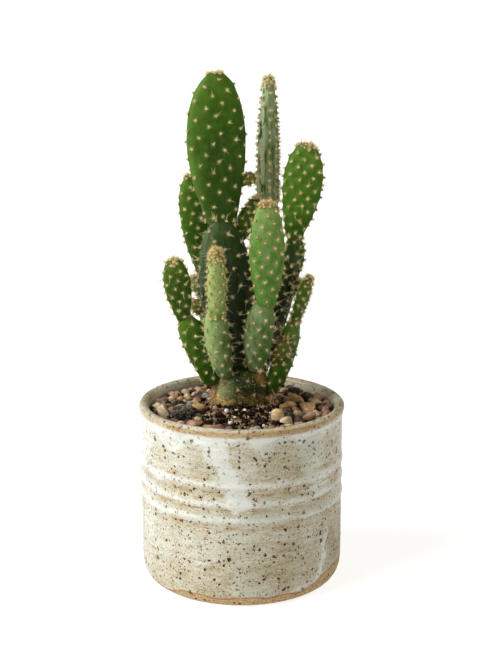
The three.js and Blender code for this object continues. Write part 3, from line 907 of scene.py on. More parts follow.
@dataclass(frozen=True)
class Habit:
    """How the areoles of a pad look at its age.

    Cushion and bristle size a tuft, and tuft is how much larger it is at the crown. Spines and
    spine are the ranges of their number and length.
    """

    cushion: float
    bristle: float
    spines: tuple[int, int]
    spine: tuple[float, float]
    tuft: float
    tubercle: float
    tubercle_reach: float
    wool: str


HABITS = {
    Skin.OLD: Habit(0.84, 0.85, (2, 4), (4.5, 9.0), 1.15, 0.15, 3.0, "tan"),
    Skin.GREY: Habit(0.8, 0.85, (1, 3), (3.0, 6.0), 1.2, 0.35, 2.4, "tan"),
    Skin.LEAF: Habit(0.82, 0.85, (1, 3), (3.0, 6.5), 1.3, 0.3, 2.4, "tan"),
    Skin.YOUNG: Habit(0.76, 0.9, (0, 2), (2.0, 4.5), 1.4, 0.5, 2.2, "golden"),
    Skin.DRY: Habit(0.66, 0.8, (1, 3), (2.5, 5.5), 1.2, 0.6, 2.2, "golden"),
}


@dataclass(frozen=True)
class Areole:
    """One areole: where it sits, which way it points, and its size."""

    foot: Vector
    outward: Vector
    size: float


class AreoleKit:
    """The tufts and spines that every areole is made of, each modelled a few times."""

    TUFTS = 6
    SPINES = 5
    BRISTLES = 16

    def __init__(self) -> None:
        """Models the shapes and makes their finishes."""
        self.tufts = [self.model_tuft(seed) for seed in range(self.TUFTS)]
        self.spines = [self.model_spine(seed) for seed in range(self.SPINES)]
        self.wools = {
            "tan": WoolFinish("tan wool", "#B87C3C", "#FFF4B4", "#FFFFE8", "#94602C").make(),
            "golden": WoolFinish("golden wool", "#C06C20", "#FFECA4", "#FFFDE0", "#AC5C1C").make(),
            "rust": WoolFinish("rust wool", "#8A4E34", "#DCA684", "#FFE8D0", "#6A3A24").make(),
        }
        self.horn = SpineFinish("spine horn", "#B98F5C", "#EAD9AE", "#F6ECCE").make()

    def model_tuft(self, seed: int) -> Shape:
        """Models a round cushion of felt with a fan of bristles.

        Args:
            seed: the draw.

        Returns:
            The tuft, with a cushion of radius 1.
        """
        draw = Random(seed)
        deselect()
        bpy.ops.mesh.primitive_ico_sphere_add(subdivisions=2, radius=0.85)
        cushion = bpy.context.object
        bpy.ops.object.mode_set(mode="EDIT")
        bpy.ops.mesh.bisect(plane_co=(0, 0, -0.2), plane_no=(0, 0, -1), use_fill=True, clear_outer=True)
        bpy.ops.mesh.select_all(action="SELECT")
        bpy.ops.transform.resize(value=(1, 1, 0.62), center_override=(0, 0, 0))
        bpy.ops.transform.vertex_random(offset=0.16, uniform=0.5, normal=0.5, seed=seed)
        bpy.ops.object.mode_set(mode="OBJECT")
        bristles = []
        for number in range(self.BRISTLES):
            turn = math.tau * ((number * GOLDEN_TURN) % 1.0)
            lean = math.sqrt((number + 0.5) / self.BRISTLES) * 1.35
            length = draw.uniform(1.2, 2.7)
            out = 0.35 * lean + 0.5 * length * math.sin(lean)
            bpy.ops.mesh.primitive_cone_add(
                vertices=3,
                radius1=0.24,
                radius2=0,
                depth=length,
                location=(math.cos(turn) * out, math.sin(turn) * out, 0.15 + 0.5 * length * math.cos(lean)),
                rotation=(0, lean + draw.uniform(-0.15, 0.15), turn + draw.uniform(-0.3, 0.3)),
            )
            bristles.append(bpy.context.object)
        for bristle in bristles:
            bristle.select_set(True)
        cushion.select_set(True)
        bpy.context.view_layer.objects.active = cushion
        bpy.ops.object.join()
        bpy.ops.object.transform_apply(location=True, rotation=True, scale=True)
        return Shape.taken_from(cushion)

    def model_spine(self, seed: int) -> Shape:
        """Models a slightly bent spine, to be scaled to its length and girth.

        Args:
            seed: the draw.

        Returns:
            The spine, of length 1 and foot radius 1.
        """
        bend = 0.05 * math.sin(2.1 * seed + 0.4)
        steps = [(-0.12, 1.0), (0.3, 0.78), (0.65, 0.52), (1.0, 0.1)]
        sections = [Section(height, girth, girth) for height, girth in steps]
        spine = loft("spine", sections, 4)
        points = read_points(spine.data)
        points[:, 0] += 40 * bend * np.clip(points[:, 2], 0, 1) ** 2
        write_points(spine.data, points)
        return Shape.taken_from(spine)

    def plant(
        self, name: str, areoles: Sequence[Areole], habit: Habit, place: Matrix, nodes: Sequence[str]
    ) -> None:
        """Plants the tufts and the spines of one pad.

        Args:
            name: the pad's name.
            areoles: the pad's areoles, in its own frame.
            habit: how they look.
            place: where the pad stands.
            nodes: the nodes that the pad replaces.
        """
        draw = Random(name)
        tufts: list[Place] = []
        spines: list[Place] = []
        for areole in areoles:
            turn = facing(areole.outward) @ any_spin(draw)
            growth = areole.size * draw.uniform(0.85, 1.15)
            wide, tall = habit.cushion * growth, habit.bristle * growth
            here = Matrix.Translation(areole.foot)
            tufts.append((draw.randrange(self.TUFTS), here @ turn @ Matrix.Diagonal((wide, wide, tall, 1))))
            for _ in range(draw.randint(*habit.spines)):
                spines.append((draw.randrange(self.SPINES), here @ self.spine_place(areole, habit, draw)))
        wool = planted(f"{name}_wool", self.tufts, tufts)
        put_in_place(wool, self.wools[habit.wool], "areole_wool", nodes, place)
        if spines:
            horn = planted(f"{name}_spines", self.spines, spines)
            put_in_place(horn, self.horn, "spine", nodes, place)

    def spine_place(self, areole: Areole, habit: Habit, draw: Random) -> Matrix:
        """Draws one spine's direction, length and girth, with its foot in the cushion.

        Args:
            areole: the areole that it grows from.
            habit: how the pad's spines look.
            draw: the random draw.

        Returns:
            The spine's turn and size.
        """
        aside = Vector((draw.gauss(0, 0.38), draw.gauss(0, 0.38), draw.gauss(-0.05, 0.4)))
        direction = (areole.outward + aside).normalized()
        length = draw.uniform(*habit.spine)
        girth = 0.09 + 0.011 * length
        return facing(direction) @ any_spin(draw) @ Matrix.Diagonal((girth, girth, length, 1))


@dataclass
class Pad:
    """One pad: its ends, its widest section and the way that it narrows at both ends.

    In its methods, t is the way up from 0 at its joint to 1 at its tip. Turn is in degrees from
    the front, widest is the t where it is widest, and neck is its joint's share of its width. A
    higher blunt makes a squarer tip. Spacing is between the areoles on its skin, crown is their
    number at the tip, reach is how far down these go, and collar is their number at its joint.
    """

    name: str
    base: Triple
    tip: Triple
    width: float
    depth: float
    turn: float
    widest: float
    neck: float
    blunt: float
    skin: Skin
    spacing: float
    bow: float = 0.0
    phase: float = 0.0
    tubercle: float = 1.0
    crown: int = 6
    reach: float = 1.5
    ribs: int = 0
    pale: float = 0.0
    # lit paints the side that faces the key light paler, a painted highlight; sheen paints bloom on the
    # wrinkle ridges and shade in their troughs, strongest on that side.
    lit: float = 0.3
    sheen: float = 0.0
    collar: int = 0
    length: float = field(init=False)
    cap: float = field(init=False)

    RINGS = 20
    SIDES = 24
    DEPTH_WIDEST_EARLIER = 0.08
    DEPTH_NECK_EXTRA = 0.03
    DEPTH_BLUNT = 2.4
    SQUARENESS = 2.4
    TIP = 0.995
    SHORT = 26.0
    SPIRAL_TOP = 0.985
    CROWN_TOP = 0.997
    CROWN_EDGE_SIZE = 0.85
    COLLAR_SIZE = 1.3
    HALO = 2.6
    # The direction toward the key light, which the skin's painted light follows.
    WINDOW = Vector((-0.95, -0.3, 0))

    def __post_init__(self) -> None:
        """Works out the length, and the round cap that is sunk in what carries the pad."""
        self.length = (Vector(self.tip) - Vector(self.base)).length
        self.cap = 0.28 * self.width * self.neck / self.length

    def fullness(self, t: float, widest: float, neck: float, blunt: float) -> float:
        """Says how full the pad is at t.

        Args:
            t: the way up. Below 0 it is in the sunk cap.
            widest: the way up to where it is full.
            neck: how full it is at the joint.
            blunt: how square the tip is.

        Returns:
            The share of the full width or depth.
        """
        if t < 0:
            return neck * math.sqrt(max(0.0, 1 - (t / self.cap) ** 2))
        if t < widest:
            return neck + (1 - neck) * math.sin(math.pi / 2 * t / widest)
        past = min(1.0, (t - widest) / (1 - widest))
        return (1 - past**blunt) ** (1 / blunt)

    def half_width(self, t: float) -> float:
        """Gives half the width at t."""
        return 0.5 * self.width * self.fullness(t, self.widest, self.neck, self.blunt)

    def half_depth(self, t: float) -> float:
        """Gives half the depth at t, which is fullest a little lower than the width."""
        neck = min(1.0, self.neck + self.DEPTH_NECK_EXTRA)
        deepest = self.widest - self.DEPTH_WIDEST_EARLIER
        return 0.5 * self.depth * self.fullness(t, deepest, neck, self.DEPTH_BLUNT)

    def sideways(self, t: float) -> float:
        """Gives the bow of the middle line at t."""
        return 4 * t * (1 - t) * self.bow if t > 0 else 0.0

    def section(self, t: float) -> Section:
        """Gives the oval section at t."""
        return Section(t * self.length, self.half_width(t), self.half_depth(t), self.sideways(t))

    def place(self) -> Matrix:
        """Stands the pad, modelled upright with its face to -Y, where it grows."""
        along = (Vector(self.tip) - Vector(self.base)).normalized()
        front = Vector((0, -1, 0))
        front = (front - along * front.dot(along)).normalized()
        front.rotate(Matrix.Rotation(math.radians(self.turn), 3, along))
        across = along.cross(front)
        turned = Matrix((across, -front, along)).transposed().to_4x4()
        return Matrix.Translation(self.base) @ turned

    def bulge(self, across: Any, through: Any) -> Any:
        """Says how many times as far out as a plain oval the skin lies, so that pads are squarish.

        Args:
            across: how far the direction goes across the pad.
            through: how far it goes through it.

        Returns:
            The factor, 1 at the middle of each side.
        """
        girth = np.maximum(np.hypot(across, through), 1e-6)
        power = self.SQUARENESS
        return (np.abs(across / girth) ** power + np.abs(through / girth) ** power) ** (-1 / power)

    def point(self, t: float, angle: float) -> Vector:
        """Gives a place on the skin.

        Args:
            t: the way up.
            angle: the way round.

        Returns:
            The place in the pad's own frame.
        """
        across, through = math.cos(angle), math.sin(angle)
        bulge = float(self.bulge(across, through))
        x = self.sideways(t) + self.half_width(t) * across * bulge
        return Vector((x, -self.half_depth(t) * through * bulge, t * self.length))

    def outward(self, t: float, angle: float) -> Vector:
        """Gives the direction straight out of the skin.

        Args:
            t: the way up.
            angle: the way round.

        Returns:
            The direction in the pad's own frame.
        """
        step = 0.01
        upwards = self.point(min(self.TIP, t + step), angle) - self.point(t - step, angle)
        sidewards = self.point(t, angle + step) - self.point(t, angle - step)
        return upwards.cross(sidewards).normalized()

    def edge_lengths(self, t: float, steps: int) -> list[float]:
        """Measures along the oval edge of a section.

        Args:
            t: the section's way up.
            steps: how many equal steps in angle it takes.

        Returns:
            The length of edge up to each step.
        """
        lengths = [0.0]
        for step in range(steps):
            angle = math.tau * (step + 0.5) / steps
            edge = math.hypot(self.half_width(t) * math.sin(angle), self.half_depth(t) * math.cos(angle))
            lengths.append(lengths[-1] + edge * math.tau / steps)
        return lengths

    def angle_at(self, t: float, share: float) -> float:
        """Finds the angle at a share of the way round a section.

        Args:
            t: the section's way up.
            share: the share of the way, measured along its edge.

        Returns:
            The angle.
        """
        steps = 48
        lengths = self.edge_lengths(t, steps)
        return float(np.interp(share * lengths[-1], lengths, np.linspace(0, math.tau, steps + 1)))

    def areoles(self) -> list[Areole]:
        """Lays out the areoles: a spiral of golden turns up the pad, and a crowded tip.

        Returns:
            The areoles in the pad's own frame.
        """
        habit = HABITS[self.skin]
        steps = 200
        patch = self.spacing**2
        area = patch / 2
        found: list[Areole] = []
        draw = Random(self.name + " areoles")
        for step in range(steps):
            t = (step + 0.5) / steps
            area += self.edge_lengths(t, 12)[-1] * self.length / steps
            while area > patch:
                area -= patch
                share = (self.phase - len(found) * GOLDEN_TURN + draw.gauss(0, 0.008)) % 1.0
                angle = self.on_rib(self.angle_at(t, share))
                found.append(self.areole(min(t, self.SPIRAL_TOP), angle, 1.0))
        for number in range(self.crown):
            t = self.CROWN_TOP - self.reach * number / self.crown / self.length
            angle = math.tau * ((number * GOLDEN_TURN + draw.gauss(0, 0.02)) % 1.0)
            size = lerp(habit.tuft, self.CROWN_EDGE_SIZE, number / self.crown) * draw.uniform(0.8, 1.15)
            found.append(self.areole(t, angle, size))
        for number in range(self.collar):
            angle = math.tau * (number + draw.uniform(0.3, 0.7)) / self.collar
            found.append(self.areole(draw.uniform(0.01, 0.04), angle, self.COLLAR_SIZE))
        return found

    def on_rib(self, angle: float) -> float:
        """Moves an angle to the nearest rib, where the pad has ribs."""
        step = math.tau / self.ribs if self.ribs else 0
        return round(angle / step) * step if step else angle

    def areole(self, t: float, angle: float, size: float) -> Areole:
        """Makes one areole on top of its tubercle.

        Args:
            t: its way up.
            angle: its way round.
            size: its size beside the others.

        Returns:
            The areole.
        """
        outward = self.outward(t, angle)
        rise = HABITS[self.skin].tubercle * self.tubercle - 0.1
        lean = (outward + Vector((0, 0, 0.25))).normalized()
        return Areole(self.point(t, angle) + outward * rise, lean, size)

    def plain_body(self) -> tuple[Thing, Array]:
        """Lofts the pad on oval sections, refines it and makes the sections squarish.

        Returns:
            The pad's body in its own frame, and its vertices' places.
        """
        fewer = 2 if self.length < self.SHORT else 1
        rings = self.RINGS // fewer
        shares = [0.5 - 0.5 * math.cos(math.pi * ring / rings) for ring in range(rings + 1)]
        heights = [lerp(-0.96 * self.cap, self.TIP, share) for share in shares]
        sections = [self.section(t) for t in heights]
        piece = loft(f"{self.name}_flesh", sections, self.SIDES // fewer)
        refine(piece, 2)
        points = read_points(piece.data)
        levels, wide, deep, shift = np.array([[s.height, s.wide, s.deep, s.shift] for s in sections]).T
        off = points[:, 0] - np.interp(points[:, 2], levels, shift)
        across = off / np.interp(points[:, 2], levels, wide)
        through = points[:, 1] / np.interp(points[:, 2], levels, deep)
        bulge = self.bulge(across, through)
        points[:, 0] += off * (bulge - 1)
        points[:, 1] *= bulge
        write_points(piece.data, points)
        return piece, points

    def relief(self, points: Array, away: Array) -> Array:
        """Gives the tubercles, dents, wrinkles and ribs of the skin.

        Args:
            points: the vertices' places.
            away: how far each is from the nearest areole.

        Returns:
            How far each vertex rises.
        """
        habit = HABITS[self.skin]
        along = points[:, 2] / self.length
        rise = habit.tubercle * self.tubercle * np.exp(-((away / habit.tubercle_reach) ** 2))
        rise += 0.28 * rumple(points, 13, self.width) + 0.16 * rumple(points, 4.5, self.depth)
        wrinkle = rumple(points * np.array([1, 1, 0.12]), 2.6, self.turn)
        rise += SKINS[self.skin].wrinkles * 0.9 * wrinkle * smoothstep(1.0, 0.3, along)
        if self.ribs:
            angle = np.arctan2(-points[:, 1] / self.depth, points[:, 0] / self.width)
            ends = smoothstep(1.0, 0.9, along) * smoothstep(0.0, 0.1, along)
            rise += 0.25 * np.cos(self.ribs * angle) * ends
        return rise

    def body(self, spots: Array) -> Thing:
        """Models the pad's flesh and stores what its skin reads.

        Args:
            spots: the areoles' places.

        Returns:
            The pad's body in its own frame.
        """
        piece, points = self.plain_body()
        normals = read_points(piece.data, "normal")
        away = nearest(points, spots)
        write_points(piece.data, points + normals * self.relief(points, away)[:, None])
        # Painted light: the side that faces the key light is painted paler through pale, and the sheen's
        # painted bloom and shade are strongest there.
        window = np.array(self.place().to_3x3().inverted() @ self.WINDOW)
        faces_window = smoothstep(0.05, 0.85, normals @ window)
        write_attributes(
            piece.data,
            along=np.clip(points[:, 2] / self.length, 0, 1),
            areole=np.exp(-((away / self.HALO) ** 2)),
            pale=self.pale + self.lit * faces_window,
            sheen=self.sheen * (0.25 + 0.75 * faces_window),
        )
        return piece

    def build(self, kit: AreoleKit, skins: dict[Skin, Material]) -> None:
        """Builds the pad with its wool and spines.

        Args:
            kit: the areoles' shapes and finishes.
            skins: the skin materials.
        """
        areoles = self.areoles()
        spots = np.array([tuple(areole.foot) for areole in areoles])
        place = self.place()
        body = self.body(spots)
        put_in_place(body, skins[self.skin], self.skin.value, [self.name], place)
        kit.plant(self.name, areoles, HABITS[self.skin], place, [self.name])


PADS = [
    Pad(
        "pad_centre_old", (-3.4, 0, 133), (-14, 0, 244.5), 36.5, 21, 8, 0.58, 0.5, 2.2, Skin.OLD, 9,
        crown=5, sheen=0.32,
    ),
    Pad(
        "pad_crown_large", (-13, 2.6, 242.5), (-16.5, 6, 339.5),
        39.5, 15, 12, 0.55, 0.48, 2.1, Skin.LEAF, 8.7,
        bow=-1.6, crown=13, reach=1.5, lit=0.3, sheen=0.1, collar=5,
    ),
    Pad(
        "pad_front_right_old", (10, -9.5, 147), (14.5, -22, 194),
        19.6, 15.5, -5, 0.5, 0.6, 2.6, Skin.GREY, 6.6,
        bow=-1, lit=0.0, sheen=0.2, collar=3,
    ),
    Pad(
        "pad_front_right_young", (16, -22, 192), (16.5, -20, 259),
        23, 13, 5, 0.52, 0.5, 2.1, Skin.YOUNG, 6.4,
        crown=24, reach=3.5, lit=-0.1,
    ),
    Pad(
        "pad_front_left_old", (-11.2, -11, 142.5), (-17.5, -24, 189),
        16.6, 14, -20, 0.5, 0.6, 3, Skin.GREY, 6.2,
        bow=-1, pale=0.1, lit=0.85, sheen=0.2,
    ),
    Pad(
        "pad_front_left_young", (-16, -22, 183.5), (-16.2, -26, 230),
        14, 10.8, 72, 0.5, 0.8, 2, Skin.YOUNG, 4.6,
        crown=34, reach=9, pale=0.75, lit=0.1, collar=5,
    ),
    Pad(
        "pad_left_lower", (-19.2, -8, 137), (-38, -12, 182),
        19, 12, 10, 0.54, 0.6, 2.4, Skin.LEAF, 6.5, 1,
        lit=0.15,
    ),
    Pad(
        "pad_left_upper", (-38, -12, 180), (-44.5, -16, 221.5),
        17.6, 10.5, 10, 0.58, 0.45, 2.2, Skin.LEAF, 5.4,
        crown=15, reach=4, lit=0.1,
    ),
    Pad("pad_rear_left_lower", (-10, 13.5, 131), (-24, 22, 202), 20, 14, 20, 0.6, 0.5, 2.4, Skin.GREY, 7.5),
    Pad(
        "pad_rear_left_upper", (-23.5, 22, 201), (-34.5, 26, 271.5),
        22, 12, 5, 0.6, 0.45, 2.1, Skin.LEAF, 6.4,
        bow=-0.5, crown=12, reach=2.5, lit=0,
    ),
    Pad("pad_rear_lower", (7, 14, 133), (16.5, 24, 230), 24, 15, 30, 0.6, 0.5, 2.4, Skin.OLD, 8.5),
    Pad(
        "pad_rear_tall", (17.6, 24, 230), (18, 28, 336),
        24.5, 11.4, 70, 0.35, 0.86, 1.8, Skin.GREY, 5.6,
        crown=30, reach=9, ribs=10, tubercle=3.2, pale=0.15, lit=1.0, sheen=1.5,
    ),
    Pad("pad_right_stem", (9.5, 4, 134), (35, 6, 233), 20, 11.5, 42, 0.54, 0.5, 2.4, Skin.OLD, 6.6, 2.4),
    Pad(
        "pad_right_crown", (34.5, 4, 232), (43, 10, 293),
        25.6, 11, -5, 0.6, 0.38, 2.15, Skin.LEAF, 6, 0.8,
        crown=22, reach=3.5, tubercle=3.6, pale=0.3, lit=0.1, collar=4,
    ),
    Pad(
        "pad_right_lower", (20.8, -3.5, 130), (35.6, -6, 180),
        17.6, 10.5, 48, 0.44, 0.72, 2.3, Skin.LEAF, 6.4, 1.4,
    ),
    Pad(
        "pad_right_upper", (35.4, -6, 177), (44.8, -6, 208), 13.5, 8, 75, 0.6, 0.7, 2.4, Skin.LEAF, 4.6,
        crown=12, reach=5, collar=4,
    ),
    Pad("bud_right_stem", (34.5, 13, 203), (37.5, 16, 230), 12.5, 8, 0, 0.55, 0.5, 2.3, Skin.LEAF, 5),
    Pad(
        "bud_right_small", (32.5, 6, 194.5), (40.5, 6, 201.5), 8, 7.5, 0, 0.5, 0.6, 2.2, Skin.LEAF, 3.4,
        crown=10,
    ),
    Pad(
        "bud_right_dry", (22.5, -8, 149), (29, -12, 168), 10.5, 9.5, 0, 0.5, 0.5, 2.3, Skin.DRY, 4.0,
        crown=8,
    ),
    Pad(
        "bud_left_upper", (-26, 16, 190), (-32.5, 17, 203.5), 8.5, 8, 0, 0.5, 0.6, 2.3, Skin.LEAF, 3.4,
        crown=10,
    ),
    Pad(
        "bud_left_lower", (-22.5, 13.5, 179), (-34, 12, 186.5), 9.5, 9, 0, 0.5, 0.6, 2.3, Skin.DRY, 3.6,
        crown=8,
    ),
    Pad(
        "bud_crown_edge", (-0.5, 7, 268.5), (9, 9, 272), 8, 7.4, 0, 0.55, 0.6, 2.3, Skin.DRY, 3.6,
        crown=4, pale=0.6,
    ),
    Pad("bud_shoulder_lower", (-3, 5.5, 229), (8, 12, 252), 13, 9, 10, 0.6, 0.5, 2.3, Skin.LEAF, 4.6),
    Pad(
        "bud_shoulder_upper", (5, 11.5, 246), (11, 14, 256.5), 10, 8, 0, 0.5, 0.6, 2.3, Skin.LEAF, 3.6,
        crown=10,
    ),
]


@dataclass(frozen=True)
class RootTuft:
    """A tuft of thin roots: how many there are, where they start, and their lean and sizes."""

    count: int
    foot: Triple
    spread: Triple
    lean: Triple
    length: tuple[float, float]
    girth: tuple[float, float]


@dataclass
class Stem:
    """The stout old stem, with its tap root, cork, root hairs and a dry tuft."""

    radius: float = 18.4
    depth_share: float = 0.94
    outline: Sequence[tuple[float, float]] = (
        (0.6, 74), (3, 75), (6, 84), (11, 94), (15.4, 104), (17, 113), (18.2, 120),
        (18.8, 127), (18.8, 133), (18.2, 138), (15.8, 142.5), (11, 146), (5, 147.6), (0.6, 148),
    )
    areole_count: int = 26
    areole_heights: tuple[float, float] = (122, 141)
    areole_halo: float = 2.4
    scarred_shoulder: Triple = (15, -9, 141)
    hairs: int = 20
    tufts: Sequence[RootTuft] = (
        RootTuft(70, (-18.0, -6.5, 130), (0.4, 1.6, 3.0), (-0.7, -0.4, -0.2), (1.8, 4.2), (0.14, 0.24)),
        RootTuft(12, (-19.5, -7.5, 125), (0.6, 2.0, 3.0), (-0.7, -0.3, -0.7), (7.0, 12.0), (0.12, 0.18)),
        RootTuft(12, (20.0, -7.5, 128), (0.6, 1.6, 1.5), (0.3, -0.3, -1.0), (7.0, 12.0), (0.14, 0.22)),
    )

    def body(self, spots: Array) -> Thing:
        """Lofts the stem and gives it its folds and cork.

        Args:
            spots: the areoles' places.

        Returns:
            The stem's body.
        """
        sections = [Section(height, radius, radius * self.depth_share) for radius, height in self.outline]
        piece = loft("stem_flesh", sections, 32)
        refine(piece, 2)
        points = read_points(piece.data)
        around = np.arctan2(points[:, 1], points[:, 0])
        swell = 1 + 0.035 * np.sin(3 * around + 0.6) * np.sin(points[:, 2] * 0.08)
        points[:, :2] *= swell[:, None]
        low = smoothstep(132.0, 121.0, points[:, 2])
        folds = 0.7 * rumple(points, 8, 3.0) + (0.15 + 0.7 * low) * rumple(points, 2.6, 8.0)
        girth = np.maximum(np.linalg.norm(points[:, :2], axis=1), 1e-6)
        push = folds * smoothstep(0.0, 8.0, girth)
        points[:, :2] *= (1 + push / girth)[:, None]
        write_points(piece.data, points)
        shoulder = np.linalg.norm(points - np.array(self.scarred_shoulder), axis=1)
        write_attributes(
            piece.data,
            areole=np.exp(-((nearest(points, spots) / self.areole_halo) ** 2)),
            corky=smoothstep(9.5, 5.0, shoulder + 1.5 * rumple(points, 3, 4.0)),
            # lit: the side toward the light at -X, which the skin paints paler
            lit=smoothstep(-2.0, -17.0, points[:, 0]),
        )
        return piece

    def areoles(self) -> list[Areole]:
        """Sets old areoles on the visible part of the stem, by golden turns.

        Returns:
            The areoles.
        """
        found = []
        radii = [radius for radius, _ in self.outline]
        heights = [height for _, height in self.outline]
        for number in range(self.areole_count):
            height = lerp(*self.areole_heights, (number + 0.5) / self.areole_count)
            radius = float(np.interp(height, heights, radii))
            angle = math.tau * ((number * GOLDEN_TURN) % 1.0)
            across, through = math.cos(angle), self.depth_share * math.sin(angle)
            outward = Vector((across, through, 0.15)).normalized()
            found.append(Areole(Vector((radius * across, radius * through, height)), outward, 0.9))
        return found

    def build(self, kit: AreoleKit) -> None:
        """Builds the stem with its areoles and root hairs.

        Args:
            kit: the areoles' shapes and finishes.
        """
        areoles = self.areoles()
        spots = np.array([tuple(areole.foot) for areole in areoles])
        put_in_place(self.body(spots), StemSkin().make(), "stem_skin", ["stem_and_root"])
        habit = Habit(0.85, 1.0, (2, 5), (2.5, 5.0), 1.0, 0.0, 3.0, "rust")
        kit.plant("stem", areoles, habit, Matrix.Identity(4), ["stem_and_root"])
        self.build_hairs()

    def build_hairs(self) -> None:
        """Lays thin roots and a dry tuft round the foot of the stem."""
        draw = Random(31)
        strands = [self.strand(seed) for seed in range(6)]
        places: list[Place] = []
        for _ in range(self.hairs):
            angle = draw.uniform(0, math.tau)
            foot = Vector((18.5 * math.cos(angle), 17.4 * math.sin(angle), draw.uniform(119, 124)))
            lean = Vector((math.cos(angle), math.sin(angle), draw.uniform(-0.9, 0.4)))
            kind, length = draw.randrange(len(strands)), draw.uniform(6, 13)
            places.append((kind, self.strand_place(foot, lean, length, 0.22, draw)))
        for tuft in self.tufts:
            for _ in range(tuft.count):
                foot = Vector(draw.gauss(middle, reach) for middle, reach in zip(tuft.foot, tuft.spread))
                lean = Vector(draw.gauss(middle, 0.4) for middle in tuft.lean)
                length, girth = draw.uniform(*tuft.length), draw.uniform(*tuft.girth)
                kind = draw.randrange(len(strands))
                places.append((kind, self.strand_place(foot, lean, length, girth, draw)))
        hairs = planted("root_hairs", strands, places)
        fibre = GroundFinish("root fibre", "#BE9464", "#F0CE9C", "#8A6442", 4.0, 0.8, 0.2, 0.8, 0.05).make()
        put_in_place(hairs, fibre, "stem_skin", ["stem_and_root"])

    @staticmethod
    def strand(seed: int) -> Shape:
        """Models a wavy strand, to be scaled to its length and girth.

        Args:
            seed: the draw.

        Returns:
            The strand, of length 1 and foot radius 1.
        """
        steps = [Section(0.125 * step, 1 - 0.085 * step, 1 - 0.085 * step) for step in range(9)]
        piece = loft("strand", steps, 4)
        points = read_points(piece.data)
        wave = np.sin(points[:, 2] * (4 + seed) + seed)
        points[:, 0] += 4.5 * wave * points[:, 2]
        points[:, 1] += 3.0 * np.cos(points[:, 2] * 5 + 2 * seed) * points[:, 2]
        write_points(piece.data, points)
        return Shape.taken_from(piece)

    @staticmethod
    def strand_place(foot: Vector, lean: Vector, length: float, girth: float, draw: Random) -> Matrix:
        """Lays a strand from its foot along a direction.

        Args:
            foot: where it starts.
            lean: the direction.
            length: its length.
            girth: its radius at the foot.
            draw: the random draw.

        Returns:
            The strand's place.
        """
        turn = facing(lean.normalized()) @ any_spin(draw)
        return Matrix.Translation(foot) @ turn @ Matrix.Diagonal((girth, girth, length, 1))


# The pot and what fills it


@dataclass(frozen=True)
class Run:
    """A run of thick glaze down the wall: the height, turn and half width at each step of its path."""

    path: Sequence[Triple]
    strength: float = 0.3


@dataclass(frozen=True)
class Patch:
    """An oval patch where the glaze lies thicker or thinner than it does round about."""

    angle: float
    height: float
    wide: float
    tall: float
    strength: float


